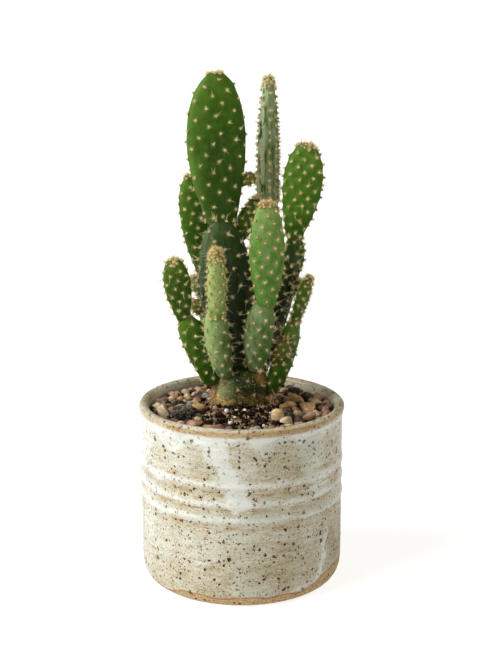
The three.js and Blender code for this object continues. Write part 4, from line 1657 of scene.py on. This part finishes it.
@dataclass
class Pot:
    """The thrown pot: foot ring, wall with throwing rings, rolled lip and drain hole.

    Each groove holds its height, reach and strength. Angles are turns from the front.
    """

    radius: float
    height: float
    lip_round: float = 3.3
    wall: float = 6.0
    foot_radius: float = 62.0
    foot_ring: float = 10.0
    recess: float = 2.0
    floor_top: float = 8.0
    drain_radius: float = 6.0
    rings: Sequence[float] = (60.5, 71.5, 84.0)
    relief: float = 1.05
    spread: float = 2.2
    lip_line: float = 118.9
    throwing_pitch: float = 4.6
    sides: int = 150
    # The narrow, strong grooves just under the three rings paint the shade under the ridges; the broad ones
    # are where the glaze breaks to ochre.
    grooves: Sequence[Triple] = (
        (55.4, 2.6, 0.7), (57.6, 0.7, 1.0), (68.0, 1.9, 0.65), (69.0, 0.7, 1.0), (79.0, 2.5, 0.9),
        (81.2, 0.7, 1.0), (88.4, 1.6, 0.65),
    )
    runs: Sequence[Run] = (
        Run(((119, -0.3, 0.42), (112, -0.3, 0.16), (104, -0.26, 0.11), (96, -0.15, 0.11), (84, -0.06, 0.12),
             (76, -0.03, 0.13), (69, -0.04, 0.1), (66, -0.05, 0.03)), 0.4),
        Run(((119, -0.75, 0.3), (112, -0.75, 0.22), (106, -0.7, 0.12), (103, -0.7, 0.04)), 0.3),
        Run(((119, 0.72, 0.3), (108, 0.72, 0.17), (92, 0.74, 0.13), (84, 0.82, 0.13), (76, 0.84, 0.14),
             (70, 0.8, 0.07)), 0.2),
        Run(((42, 0.95, 0.02), (36, 0.935, 0.026), (30, 0.91, 0.03), (19, 0.87, 0.035), (12, 0.8, 0.07),
             (9.5, 0.66, 0.15), (8, 0.5, 0.12)), 0.42),
        Run(((56, 0.8, 0.05), (40, 0.76, 0.12), (20, 0.7, 0.14), (11, 0.6, 0.14), (9, 0.5, 0.08)), 0.05),
        Run(((119, 0.25, 0.16), (112, 0.22, 0.1), (104, 0.2, 0.05)), 0.22),
        Run(((119, -1.2, 0.3), (100, -1.25, 0.2), (86, -1.3, 0.12), (80, -1.3, 0.04)), 0.25),
        Run(((119, 1.9, 0.35), (90, 1.85, 0.2), (60, 1.8, 0.12), (48, 1.8, 0.04)), 0.36),
        Run(((119, -2.2, 0.25), (100, -2.25, 0.14), (78, -2.3, 0.1), (74, -2.3, 0.03)), 0.36),
        Run(((119, 2.9, 0.3), (90, 2.95, 0.16), (50, 3.0, 0.12), (38, 3.0, 0.04)), 0.36),
    )
    patches: Sequence[Patch] = (
        Patch(-0.8, 98, 0.34, 12, 0.06),
        Patch(-0.4, 92, 0.13, 9, -0.14),
        Patch(0.42, 100, 0.36, 13, -0.08),
        Patch(1.25, 28, 0.28, 26, -0.24),
        Patch(0.25, 30, 0.5, 16, -0.08),
        Patch(-0.5, 38, 0.4, 10, 0.08),
        Patch(-1.25, 60, 0.4, 50, 0.16),
        Patch(0.1, 52, 0.5, 8, 0.06),
        Patch(2.5, 60, 0.6, 30, -0.14),
        Patch(-2.7, 40, 0.5, 26, -0.14),
    )

    @property
    def body_radius(self) -> float:
        """Gives the wall's radius between the lip and the foot."""
        return self.radius - 1.1

    @property
    def inner_radius(self) -> float:
        """Gives the radius of the wall's inner face."""
        return self.body_radius - self.wall

    def ring_relief(self, height: Any) -> Any:
        """Gives how far the throwing rings stand out at a height."""
        return sum(self.relief * np.exp(-(((height - ring) / self.spread) ** 2)) for ring in self.rings)

    def outline(self) -> list[Section]:
        """Draws the pot's outline from the drain hole out, up, over the lip and back."""
        inner = self.inner_radius
        ring = self.foot_radius - self.foot_ring
        points = [(radius, self.recess) for radius in (self.drain_radius, 26.0, ring - self.recess)]
        points += [(radius, 0.0) for radius in (ring, 57.0, self.foot_radius)]
        points += [(64.2, 1.2), (66.3, 3.6), (67.6, 7.0), (68.3, 10.5)]
        for height in np.arange(13.5, self.height - 8, 2.0):
            points.append((self.body_radius - 0.4 + float(self.ring_relief(height)), float(height)))
        for angle in np.linspace(0, math.pi, 10):
            across = self.radius - self.lip_round + self.lip_round * math.cos(angle)
            points.append((across, self.height - self.lip_round + self.lip_round * math.sin(angle)))
        points += [(inner, self.height - height) for height in (9, 16, 30, 50, 75, 100)]
        points += [(inner, self.floor_top + 6), (inner - 1.5, self.floor_top + 2)]
        points += [(radius, self.floor_top) for radius in (inner - 5, 35.0, self.drain_radius)]
        points.append(points[0])
        return [Section(height, radius, radius) for radius, height in points]

    def glaze_depth(self, angle: Array, height: Array) -> Array:
        """Says how thick the glaze lies: thick under the lip, in runs and on the ridges.

        Args:
            angle: the turn from the front, in radians.
            height: the height on the wall.

        Returns:
            The depth, about 0.1 where it is thin and 1 where it is thickest.
        """
        depth = 0.45 + 0.2 * smoothstep(109, 116, height) - 0.05 * smoothstep(60, 10, height)
        depth = depth - 0.34 * smoothstep(117.2, 118.6, height)
        for ring in self.rings:
            depth = depth + 0.32 * np.exp(-(((height - ring - 0.6) / 2.0) ** 2))
        for patch in self.patches:
            aside = turn_between(angle, patch.angle) / patch.wide
            above = (height - patch.height) / patch.tall
            depth = depth + patch.strength * smoothstep(1.5, 0.4, np.hypot(aside, above))
        thickness = np.zeros_like(depth)
        for run in self.runs:
            heights, turns, halves = zip(*reversed(run.path))
            middle = np.interp(height, heights, turns) + 0.012 * np.sin(height * 0.55)
            half = np.interp(height, heights, halves)
            across = smoothstep(1.35, 0.6, np.abs(turn_between(angle, middle)) / half)
            lies = smoothstep(heights[0] - 1.5, heights[0], height)
            if heights[-1] < self.height - 10:
                lies = lies * smoothstep(heights[-1] + 6, heights[-1], height)
            thickness = np.maximum(thickness, run.strength * across * lies)
        return depth + thickness

    def groove_tone(self, angle: Array, height: Array, depth: Array, flow: Array) -> Array:
        """Says where the glaze breaks to ochre, in the grooves and under the lip, and paints shade in
        narrow lines under the ridges.

        Args:
            angle: the turn from the front, in radians.
            height: the height on the wall.
            depth: how thick the glaze lies.
            flow: smooth noise that breaks the lines up.

        Returns:
            The strength of the ochre.
        """
        groove = np.zeros_like(depth)
        for level, reach, strength in self.grooves:
            drift = 0.5 * np.sin(2 * angle + level)
            groove = np.maximum(groove, strength * np.exp(-(((height - level - drift) / reach) ** 2)))
        groove *= smoothstep(0.95, 0.6, depth) * (0.3 + 0.7 * smoothstep(-0.3, 0.15, flow))
        lip = 0.45 + 0.75 * smoothstep(1.1, 0.55, np.abs(angle - 0.05)) + 0.25 * flow
        return np.maximum(groove, lip * np.exp(-(((height - self.lip_line) / 1.9) ** 4)))

    def bare_clay(self, points: Array, angle: Array) -> Array:
        """Says where the foot is bare, below a glaze line that wanders up on the right.

        Args:
            points: the vertices' places.
            angle: the turn from the front, in radians.

        Returns:
            1 on bare clay and 0 on glaze.
        """
        height = points[:, 2]
        foot_line = 7.4 + 1.6 * rumple(points * np.array([1, 1, 0]), 16, 1.0)
        foot_line += 7.0 * smoothstep(0.62, 1.0, angle) * smoothstep(2.2, 1.5, angle)
        foot_line -= 3.6 * smoothstep(-0.5, -0.95, angle) * smoothstep(-2.4, -1.8, angle)
        return smoothstep(foot_line + 0.9, foot_line - 0.9, height)

    def dress(self, piece: Thing) -> None:
        """Wobbles the wall as a hand does, and stores where the glaze is thick or missing."""
        points = read_points(piece.data)
        radius = np.linalg.norm(points[:, :2], axis=1)
        height = points[:, 2]
        angle = turn_between(np.arctan2(points[:, 1], points[:, 0]), FRONT)
        is_outside = smoothstep(self.inner_radius + 1.2, self.inner_radius + 4.0, radius)
        # Inside the wall below the lip, where the glaze is painted darker as shade.
        is_inside = (1 - is_outside) * smoothstep(self.height - 1.5, self.height - 8, height)
        ragged = 0.05 * rumple(points, 9, 4.0) + 0.03 * rumple(points, 3.5, 6.0)
        sagged = 2.4 * rumple(points, 8, 7.0) + 1.0 * rumple(points, 3.0, 9.0)
        is_wall = smoothstep(117.0, 112.0, height)
        depth = self.glaze_depth(angle + ragged, height + 0.6 * sagged * is_wall)
        flow = rumple(points, 10, 5.0)
        groove = self.groove_tone(angle, height, depth, flow)
        bare = self.bare_clay(points, angle)
        throwing = 0.16 * np.sin(math.tau * (height / self.throwing_pitch + angle / math.tau)) * (1 + flow)
        wobble = 0.35 * np.sin(2 * angle + 1) * height / self.height + 0.3 * rumple(points, 34, 2.0)
        push = wobble + is_outside * (throwing + 0.45 * np.clip(depth - 0.5, 0, 1) * (1 - bare))
        push *= smoothstep(1.0, 8.0, height)
        points[:, :2] *= (1 + push / radius)[:, None]
        write_points(piece.data, points)
        bare *= smoothstep(self.height, 30, height)
        write_attributes(piece.data, glaze=depth, groove=groove * is_outside, bare=bare, inner=is_inside)

    def build(self) -> None:
        """Builds the pot, and gives the shard over its hole a finish of fired clay."""
        piece = loft("glazed_pot", self.outline(), self.sides, is_open=True)
        refine(piece, 1)
        self.dress(piece)
        put_in_place(piece, GlazeFinish().make(), "stoneware_glaze", ["pot"])
        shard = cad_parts["drain_shard"]
        clay = GroundFinish("fired clay", "#9A5532", "#BF7A4E", "#D9A27A", 5.0, 0.5, 0.3, 0.85, 0.1)
        shard.data.materials.clear()
        shard.data.materials.append(clay.make())


class StoneKind(Enum):
    """The kinds of stone in the gravel: dark tone, light tone, fleck, pits and streaks."""

    TAN = ("#9A7450", "#DDB88C", "#5E4830", 0.0, False)
    OCHRE = ("#9A784C", "#DEC294", "#7A5A38", 0.0, True)
    PALE = ("#B49C80", "#F0DCBE", "#7E705A", 0.0, False)
    GREY = ("#75695C", "#B6AA9A", "#4A443C", 0.0, False)
    MAUVE = ("#644C42", "#9C8070", "#382C26", 0.0, False)
    DARK = ("#2E2822", "#5E5448", "#948878", 0.3, False)
    LAVA = ("#342E28", "#92887A", "#D2C8B8", 0.8, False)
    PINK = ("#8C684E", "#C6A082", "#6E4C34", 0.0, False)


@dataclass(frozen=True)
class Stone:
    """One pebble: its place, length, width, height and the turn of its length from X."""

    x: float
    y: float
    length: float
    width: float
    height: float
    spin: float
    kind: StoneKind


# A short name for the long list of stones below
K = StoneKind

PLACED_STONES = [
    Stone(*row) for row in (
        (-46.6, 27.8, 7.2, 6.6, 5.6, 10, K.TAN), (-42.4, 19.2, 6.0, 5.0, 4.2, 0, K.TAN),
        (-38.2, 26.6, 5.6, 4.8, 4.0, 20, K.PALE), (-37.7, 16.7, 5.6, 4.6, 4.0, 0, K.MAUVE),
        (-33.5, 31.6, 5.2, 5.0, 4.4, 0, K.PALE), (-31.4, 24.1, 4.4, 3.8, 3.4, 40, K.TAN),
        (-27.9, 34.1, 5.6, 5.0, 4.4, 20, K.MAUVE), (-30.4, 15.5, 6.6, 5.8, 5.0, 20, K.MAUVE),
        (-35.1, 3.5, 6.2, 5.6, 4.8, -30, K.GREY), (-52.7, 11.9, 6.4, 6.2, 5.0, 80, K.MAUVE),
        (-52.5, -14.0, 12.0, 8.6, 7.6, -50, K.PALE), (-46.4, -7.8, 5.8, 5.0, 4.4, 0, K.PINK),
        (-43.4, 5.9, 8.6, 6.4, 5.2, 10, K.LAVA), (-38.3, -20.5, 17.0, 13.4, 9.0, 15, K.LAVA),
        (-28.7, -25.0, 7.4, 6.4, 5.0, 0, K.LAVA), (-35.6, -32.0, 7.2, 6.0, 4.2, -20, K.DARK),
        (-27.4, -13.6, 8.8, 6.6, 6.6, -10, K.OCHRE), (-44.1, -32.0, 8.2, 6.0, 4.6, -40, K.MAUVE),
        (-49.5, -24.5, 5.8, 4.6, 3.8, -50, K.GREY), (-31.5, -41.5, 12.2, 7.4, 6.4, -15, K.PINK),
        (-17.0, -20.4, 3.6, 3.4, 3.4, 0, K.PINK), (-18.1, -28.4, 3.8, 3.2, 3.0, 30, K.PINK),
        (-16.6, -38.2, 3.2, 3.0, 2.8, 0, K.MAUVE), (37.0, 36.0, 9.4, 7.4, 6.4, 0, K.LAVA),
        (45.5, 23.5, 9.8, 7.6, 6.0, -20, K.LAVA), (37.6, 14.0, 16.0, 8.0, 7.6, -52, K.TAN),
        (45.6, -4.5, 15.4, 8.2, 7.2, -40, K.TAN), (56.0, -6.0, 6.2, 5.6, 5.2, 70, K.PINK),
        (55.6, -18.6, 5.6, 4.8, 4.6, 80, K.PINK), (36.2, -18.0, 6.6, 5.8, 5.6, 0, K.PALE),
        (45.2, -22.5, 11.0, 7.2, 6.2, 15, K.PINK), (50.6, -29.0, 6.6, 5.6, 4.8, 50, K.GREY),
        (23.2, -32.5, 9.4, 8.2, 10.4, -60, K.OCHRE), (29.6, -22.5, 9.0, 8.2, 7.6, 60, K.LAVA),
        (37.6, -30.5, 7.4, 5.6, 5.0, 10, K.DARK), (31.3, -43.0, 9.8, 5.8, 4.2, -15, K.TAN),
        (42.6, -38.0, 5.8, 4.6, 3.8, 10, K.PINK),
    )
]


@dataclass
class Bed:
    """The soil, with its crumbs and perlite, and the gravel on it.

    Each perlite grain holds its X, its Y and its radius.
    """

    radius: float = 62.4
    floor: float = 8.3
    top: float = 112.5
    mound: float = 7.0
    stem_radius: float = 18.4
    rings: int = 46
    sides: int = 100
    stones: int = 175
    grit: int = 700
    slivers: int = 90
    perlite: Sequence[Triple] = (
        (-9.8, -24.5, 1.6), (-3.2, -24.5, 1.5), (2.2, -24.0, 1.3), (-7.2, -40, 1.6), (14.5, -43, 1.1),
        (-4.5, -34, 1.0), (19, -25, 0.9), (-13, -31, 0.8), (5, -32, 0.8), (7, -47, 0.9), (-14, -46, 0.8),
        (-2, -50, 0.7), (30, 25, 1.2), (-20, 40, 1.3), (8, 46, 1.2), (-45, 40, 1.1), (52, 10, 1.0),
        (-24, 24, 1.2),
    )

    def openness(self, angle: Any) -> Any:
        """Is 1 straight in front of the stem, where the soil lies open, and 0 round the rest."""
        return 1 - smoothstep(0.45, 1.05, np.abs(turn_between(angle, FRONT)))

    def gravel_reach(self, angle: Any) -> Any:
        """Gives the radius where the gravel starts."""
        return lerp(29.0, 53.0, self.openness(angle))

    def surface(self, x: Any, y: Any) -> Any:
        """Gives the soil's height: a mound that falls away from the stem, with hollows.

        Args:
            x: the place, left to right.
            y: the place, front to back.

        Returns:
            The height.
        """
        reach = lerp(38.0, self.radius, self.openness(np.arctan2(y, x)))
        mound = 1 - smoothstep(self.stem_radius, reach, np.hypot(x, y))
        hollows = np.sin(x * 0.31 + 1.3) * np.cos(y * 0.27 - 0.6) + 0.6 * np.sin(x * 0.19 - y * 0.43)
        return self.top + self.mound * mound + 0.6 * hollows

    def build_soil(self) -> None:
        """Builds the soil as a plug with a crumbly top, and strews it."""
        sections = [Section(self.floor, 56.5, 56.5), Section(15, self.radius, self.radius)]
        sections += [Section(height, self.radius, self.radius) for height in (60, 106, 111)]
        for ring in range(self.rings):
            radius = self.radius * (1 - (ring + 0.5) / self.rings)
            sections.append(Section(self.top, radius, radius))
        piece = loft("soil_bed", sections, self.sides)
        refine(piece, 1)
        points = read_points(piece.data)
        x, y = points[:, 0], points[:, 1]
        is_top = smoothstep(self.top - 1.6, self.top - 0.2, points[:, 2])
        crumbly = 1.1 * rumple(points, 3.4, 2.0) + 0.6 * rumple(points, 1.5, 5.0)
        gravelly = smoothstep(-3, 3, np.hypot(x, y) - self.gravel_reach(np.arctan2(y, x)))
        lift = self.surface(x, y) - self.top + crumbly + 0.9 * gravelly
        points[:, 2] += is_top * lift
        write_points(piece.data, points)
        loam = GroundFinish("loam", "#0C0602", "#402E20", "#B49E84", 1.8, 0.35, 0.6, 0.9, 0.6, shine=0.05)
        peat = GroundFinish("peat", "#34221A", "#C0A07E", "#F0DCC2", 1.6, 0.4, 0.5, 0.85, 0.4, shine=0.1)
        grit = GroundFinish("pale grit", "#A88C6E", "#EAD6BA", "#FFF6E6", 1.2, 0.3, 0.3, 0.85, 0.2)
        loam_material = loam.make()
        put_in_place(piece, loam_material, "potting_soil", ["soil"])
        self.build_crumbs("soil_clods", loam_material, 480, 1.0, 2.8, 21)
        self.build_crumbs("soil_crumbs", peat.make(), 1000, 0.45, 1.5, 22)
        self.build_crumbs("soil_grit", grit.make(), 2650, 0.3, 1.0, 23)
        self.build_perlite()
        self.build_litter()

    @staticmethod
    def scattered(draw: Random, inner: float, outer: float) -> tuple[float, float]:
        """Draws a place on the surface.

        Args:
            draw: the random draw.
            inner: the least radius.
            outer: the greatest radius.

        Returns:
            The place's X and Y.
        """
        angle = draw.uniform(0, math.tau)
        radius = math.sqrt(draw.uniform(inner**2, outer**2))
        return radius * math.cos(angle), radius * math.sin(angle)

    def tumbled(
        self, x: float, y: float, sizes: Triple, rise: float, draw: Random
    ) -> Matrix:
        """Drops a lump on the surface at a random turn.

        Args:
            x: its place, left to right.
            y: its place, front to back.
            sizes: its radii.
            rise: how far its middle lies above the surface.
            draw: the random draw.

        Returns:
            The place.
        """
        height = float(self.surface(x, y)) + rise
        turn = any_spin(draw) @ Matrix.Rotation(draw.gauss(0, 0.5), 4, "X")
        return Matrix.Translation((x, y, height)) @ turn @ Matrix.Diagonal((*sizes, 1))

    def build_crumbs(
        self, name: str, finish: Material, count: int, least: float, most: float, seed: int
    ) -> None:
        """Scatters crumbs on the soil, most of them where it lies open.

        Args:
            name: the piece's name.
            finish: the crumbs' finish.
            count: how many crumbs there are.
            least: the smallest crumb's radius.
            most: the largest crumb's radius.
            seed: the draw.
        """
        draw = Random(seed)
        shapes = [Shape.taken_from(lump(seed + number, 0.42)) for number in range(7)]
        places: list[Place] = []
        while len(places) < count:
            x, y = self.scattered(draw, 18.5, 61.2)
            openness = float(self.openness(math.atan2(y, x)))
            if draw.random() > 0.3 + 0.7 * openness:
                continue
            size = lerp(least, most, draw.random() ** 2.2)
            sizes = (size * draw.uniform(0.8, 1.5), size, size * draw.uniform(0.6, 1))
            kind, rise = draw.randrange(len(shapes)), 0.5 * size + draw.uniform(0.2, 1.2)
            places.append((kind, self.tumbled(x, y, sizes, rise, draw)))
        piece = planted(name, shapes, places)
        put_in_place(piece, finish, "potting_soil", ["soil"])

    def build_perlite(self) -> None:
        """Places the white perlite grains where they show, with a few more round the pot."""
        draw = Random(12)
        shapes = [Shape.taken_from(lump(seed, 0.5, levels=2, is_even=True)) for seed in range(5)]
        places: list[Place] = []
        for x, y, size in self.perlite:
            sizes = (size * draw.uniform(1, 1.3), size, size * draw.uniform(0.8, 1))
            places.append((draw.randrange(len(shapes)), self.tumbled(x, y, sizes, 0.75 * size + 1.1, draw)))
        piece = planted("perlite_grains", shapes, places)
        white = GroundFinish("perlite", "#E6E3DA", "#FBFAF4", "#CCC8BC", 1.2, 0.3, 0.2, 0.9, 0.1).make()
        put_in_place(piece, white, "perlite", ["soil"])

    def build_litter(self) -> None:
        """Lays slivers of bark and fibre on the soil."""
        draw = Random(13)
        strands = [Stem.strand(seed) for seed in range(5)]
        places: list[Place] = []
        for _ in range(self.slivers):
            x, y = self.scattered(draw, 19, 60)
            turn = draw.uniform(0, math.tau)
            lean = Vector((math.cos(turn), math.sin(turn), draw.uniform(-0.05, 0.3)))
            foot = Vector((x, y, float(self.surface(x, y)) + 1.3))
            length, girth = draw.uniform(2.5, 8), draw.uniform(0.12, 0.28)
            kind = draw.randrange(len(strands))
            places.append((kind, Stem.strand_place(foot, lean, length, girth, draw)))
        piece = planted("bark_slivers", strands, places)
        bark = GroundFinish("bark", "#4A3420", "#8C6B44", "#B8996B", 3.0, 0.5, 0.2, 0.85, 0.05).make()
        put_in_place(piece, bark, "potting_soil", ["soil"])

    def all_stones(self) -> list[Stone]:
        """Adds drawn stones between the placed ones until the ring is full.

        Returns:
            All stones.
        """
        draw = Random(5)
        shares = {K.TAN: 4, K.PALE: 3, K.GREY: 2, K.MAUVE: 4, K.PINK: 2, K.DARK: 3, K.OCHRE: 1}
        kinds = [kind for kind, share in shares.items() for _ in range(share)]
        stones = list(PLACED_STONES)
        for _ in range(9000):
            if len(stones) >= self.stones:
                break
            size = 4.2 + 4.0 * draw.random() ** 1.2
            angle = draw.uniform(0, math.tau)
            inner = float(self.gravel_reach(angle)) - 1
            radius = math.sqrt(draw.uniform(inner**2, (self.radius - size / 2) ** 2))
            x, y = radius * math.cos(angle), radius * math.sin(angle)
            room = 0.38 * size
            if all(math.hypot(s.x - x, s.y - y) > 0.24 * (s.width + s.length) + room for s in stones):
                length = size * draw.uniform(1.05, 1.5)
                height = size * draw.uniform(0.6, 0.9)
                stones.append(Stone(x, y, length, size, height, draw.uniform(0, 180), draw.choice(kinds)))
        return stones

    def build_gravel(self) -> None:
        """Builds the stones, one piece for each kind, and the grit between them."""
        draw = Random(6)
        smooth = [lump(seed, 0.36, levels=2, is_even=True) for seed in range(4)]
        broken = [split_stone(seed, 7) for seed in range(10)]
        rough = [lump(seed, 0.2, levels=4) for seed in range(5)]
        shapes = [Shape.taken_from(piece) for piece in smooth + broken + rough]
        first_rough = len(smooth) + len(broken)
        own_shapes = {K.LAVA: (first_rough, len(shapes)), K.OCHRE: (0, len(smooth))}
        places: dict[StoneKind, list[Place]] = {kind: [] for kind in StoneKind}
        for stone in self.all_stones():
            sizes = (stone.length / 2, stone.width / 2, stone.height / 2)
            height = float(self.surface(stone.x, stone.y)) + 1.8 + 0.38 * stone.height
            spin = Matrix.Rotation(math.radians(stone.spin), 4, "Z")
            turn = spin @ Matrix.Rotation(draw.gauss(0, 0.2), 4, "X")
            place = Matrix.Translation((stone.x, stone.y, height)) @ turn @ Matrix.Diagonal((*sizes, 1))
            first, last = own_shapes.get(stone.kind, (0, first_rough))
            places[stone.kind].append((draw.randrange(first, last), place))
        chips = [Shape.taken_from(lump(seed, 0.3)) for seed in range(20, 26)]
        for _ in range(self.grit):
            x, y = self.scattered(draw, 22, 61.4)
            if math.hypot(x, y) < float(self.gravel_reach(math.atan2(y, x))) - 6 and draw.random() < 0.8:
                continue
            size = draw.uniform(0.5, 1.3)
            kind = draw.choice([K.DARK, K.GREY, K.MAUVE, K.TAN, K.TAN, K.PALE])
            sizes = (size * 1.3, size, size * 0.8)
            chip = len(shapes) + draw.randrange(len(chips))
            places[kind].append((chip, self.tumbled(x, y, sizes, 1.4, draw)))
        for kind, spots in places.items():
            name = kind.name.lower()
            *tones, pits, is_streaked = kind.value
            finish = GroundFinish(f"{name} stone", *tones, 2.6, 0.35, 0.4, 0.75, 0.34, pits, is_streaked)
            piece = planted(f"gravel_{name}", shapes + chips, spots)
            put_in_place(piece, finish.make(), "gravel_stone", ["gravel"])


# The studio


@dataclass
class Studio:
    """A plain pale floor, soft light mostly from the left, and the photograph's camera."""

    camera_place: Triple = (0.00065, -0.8265, 0.3676)
    camera_pitch: float = 13.21
    focal_share: float = 1268.9 / 650
    floor_glow: float = 0.4
    floor_white: float = 0.78
    ambient: float = 0.29
    ambient_tint: Colour = (1.0, 0.93, 0.77, 1.0)

    def build_camera(self) -> None:
        """Sets the camera up at the photograph's angle."""
        data = bpy.data.cameras.new("camera")
        data.sensor_width = 36.0
        data.lens = 36.0 * self.focal_share
        camera = bpy.data.objects.new("camera", data)
        camera.location = self.camera_place
        camera.rotation_euler = (math.radians(90 - self.camera_pitch), 0, 0)
        bpy.context.scene.collection.objects.link(camera)
        bpy.context.scene.camera = camera

    def build_floor(self) -> None:
        """Lays a white floor that glows a little, as a light table does, so that shadows stay pale."""
        deselect()
        bpy.ops.mesh.primitive_plane_add(size=60)
        floor = bpy.context.object
        floor.name = floor.data.name = "floor"
        recipe = Recipe("pale floor")
        tone = recipe.noise(400, 2.0)
        recipe.colour = recipe.mix(recipe.fade(tone, 0.3, 0.7), "#BFBFBE", "#C2C2C1")
        seen = recipe.node("ShaderNodeLightPath", {}).outputs["Is Camera Ray"]
        glow = recipe.fade(seen, 0, 1, self.floor_glow, self.floor_white)
        recipe.feed(recipe.shader.inputs["Emission Strength"], glow)
        constants = {"Emission Color": (1, 1, 1, 1), "Specular IOR Level": 0.0}
        floor.data.materials.append(recipe.finish(0.9, constants))

    def add_light(
        self,
        name: str,
        toward: Triple,
        strength: float,
        spread: float,
        colour: Triple,
    ) -> None:
        """Hangs a broad far light.

        Args:
            name: its name.
            toward: the direction from the cactus to the light.
            strength: how strong it is.
            spread: how many degrees of the surroundings it fills, which softens its shadows.
            colour: its colour.
        """
        data = bpy.data.lights.new(name, "SUN")
        data.energy = strength
        data.color = colour
        data.angle = math.radians(spread)
        light = bpy.data.objects.new(name, data)
        light.rotation_euler = Vector(toward).to_track_quat("Z", "Y").to_euler()
        bpy.context.scene.collection.objects.link(light)

    def build_surroundings(self) -> None:
        """Makes the surroundings look white and light the cactus evenly."""
        world = bpy.data.worlds.new("white surroundings")
        world.use_nodes = True
        tree = world.node_tree
        background = tree.nodes["Background"]
        seen = tree.nodes.new("ShaderNodeLightPath").outputs["Is Camera Ray"]
        strength = tree.nodes.new("ShaderNodeMapRange")
        strength.inputs["To Min"].default_value = self.ambient
        tree.links.new(seen, strength.inputs["Value"])
        tree.links.new(strength.outputs[0], background.inputs["Strength"])
        tint = tree.nodes.new("ShaderNodeMix")
        tint.data_type = "RGBA"
        tint.inputs[6].default_value = self.ambient_tint
        tint.inputs[7].default_value = (1, 1, 1, 1)
        tree.links.new(seen, tint.inputs[0])
        tree.links.new(tint.outputs[2], background.inputs["Color"])
        scene = bpy.context.scene
        scene.world = world
        scene.view_settings.view_transform = "Standard"

    def build(self) -> None:
        """Builds the camera, floor, lights and white surroundings."""
        self.build_camera()
        self.build_floor()
        self.add_light("left soft box", (-1.0, -0.35, 0.72), 3.3, 45, (0.97, 0.985, 1.0))
        self.add_light("right soft box", (1.0, 0.5, 0.6), 0.5, 40, (1.0, 0.97, 0.92))
        self.build_surroundings()


@dataclass
class PottedCactus:
    """The whole plant in its pot."""

    pot: Pot
    bed: Bed = field(default_factory=Bed)
    stem: Stem = field(default_factory=Stem)
    pads: Sequence[Pad] = tuple(PADS)

    def build(self) -> None:
        """Builds the pot, the bed, the stem and the pads in that order."""
        self.pot.build()
        self.bed.build_soil()
        self.bed.build_gravel()
        kit = AreoleKit()
        skins = {skin: finish.make() for skin, finish in SKINS.items()}
        self.stem.build(kit)
        for pad in self.pads:
            pad.build(kit, skins)


def main() -> None:
    """Builds the potted cactus in its studio."""
    logging.basicConfig(level=logging.INFO, format="%(name)s: %(message)s")
    low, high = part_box("pot")
    pot = Pot(radius=(high.x - low.x) / 2 / MM, height=high.z / MM)
    PottedCactus(pot).build()
    Studio().build()


if __name__ == "__main__":
    main()
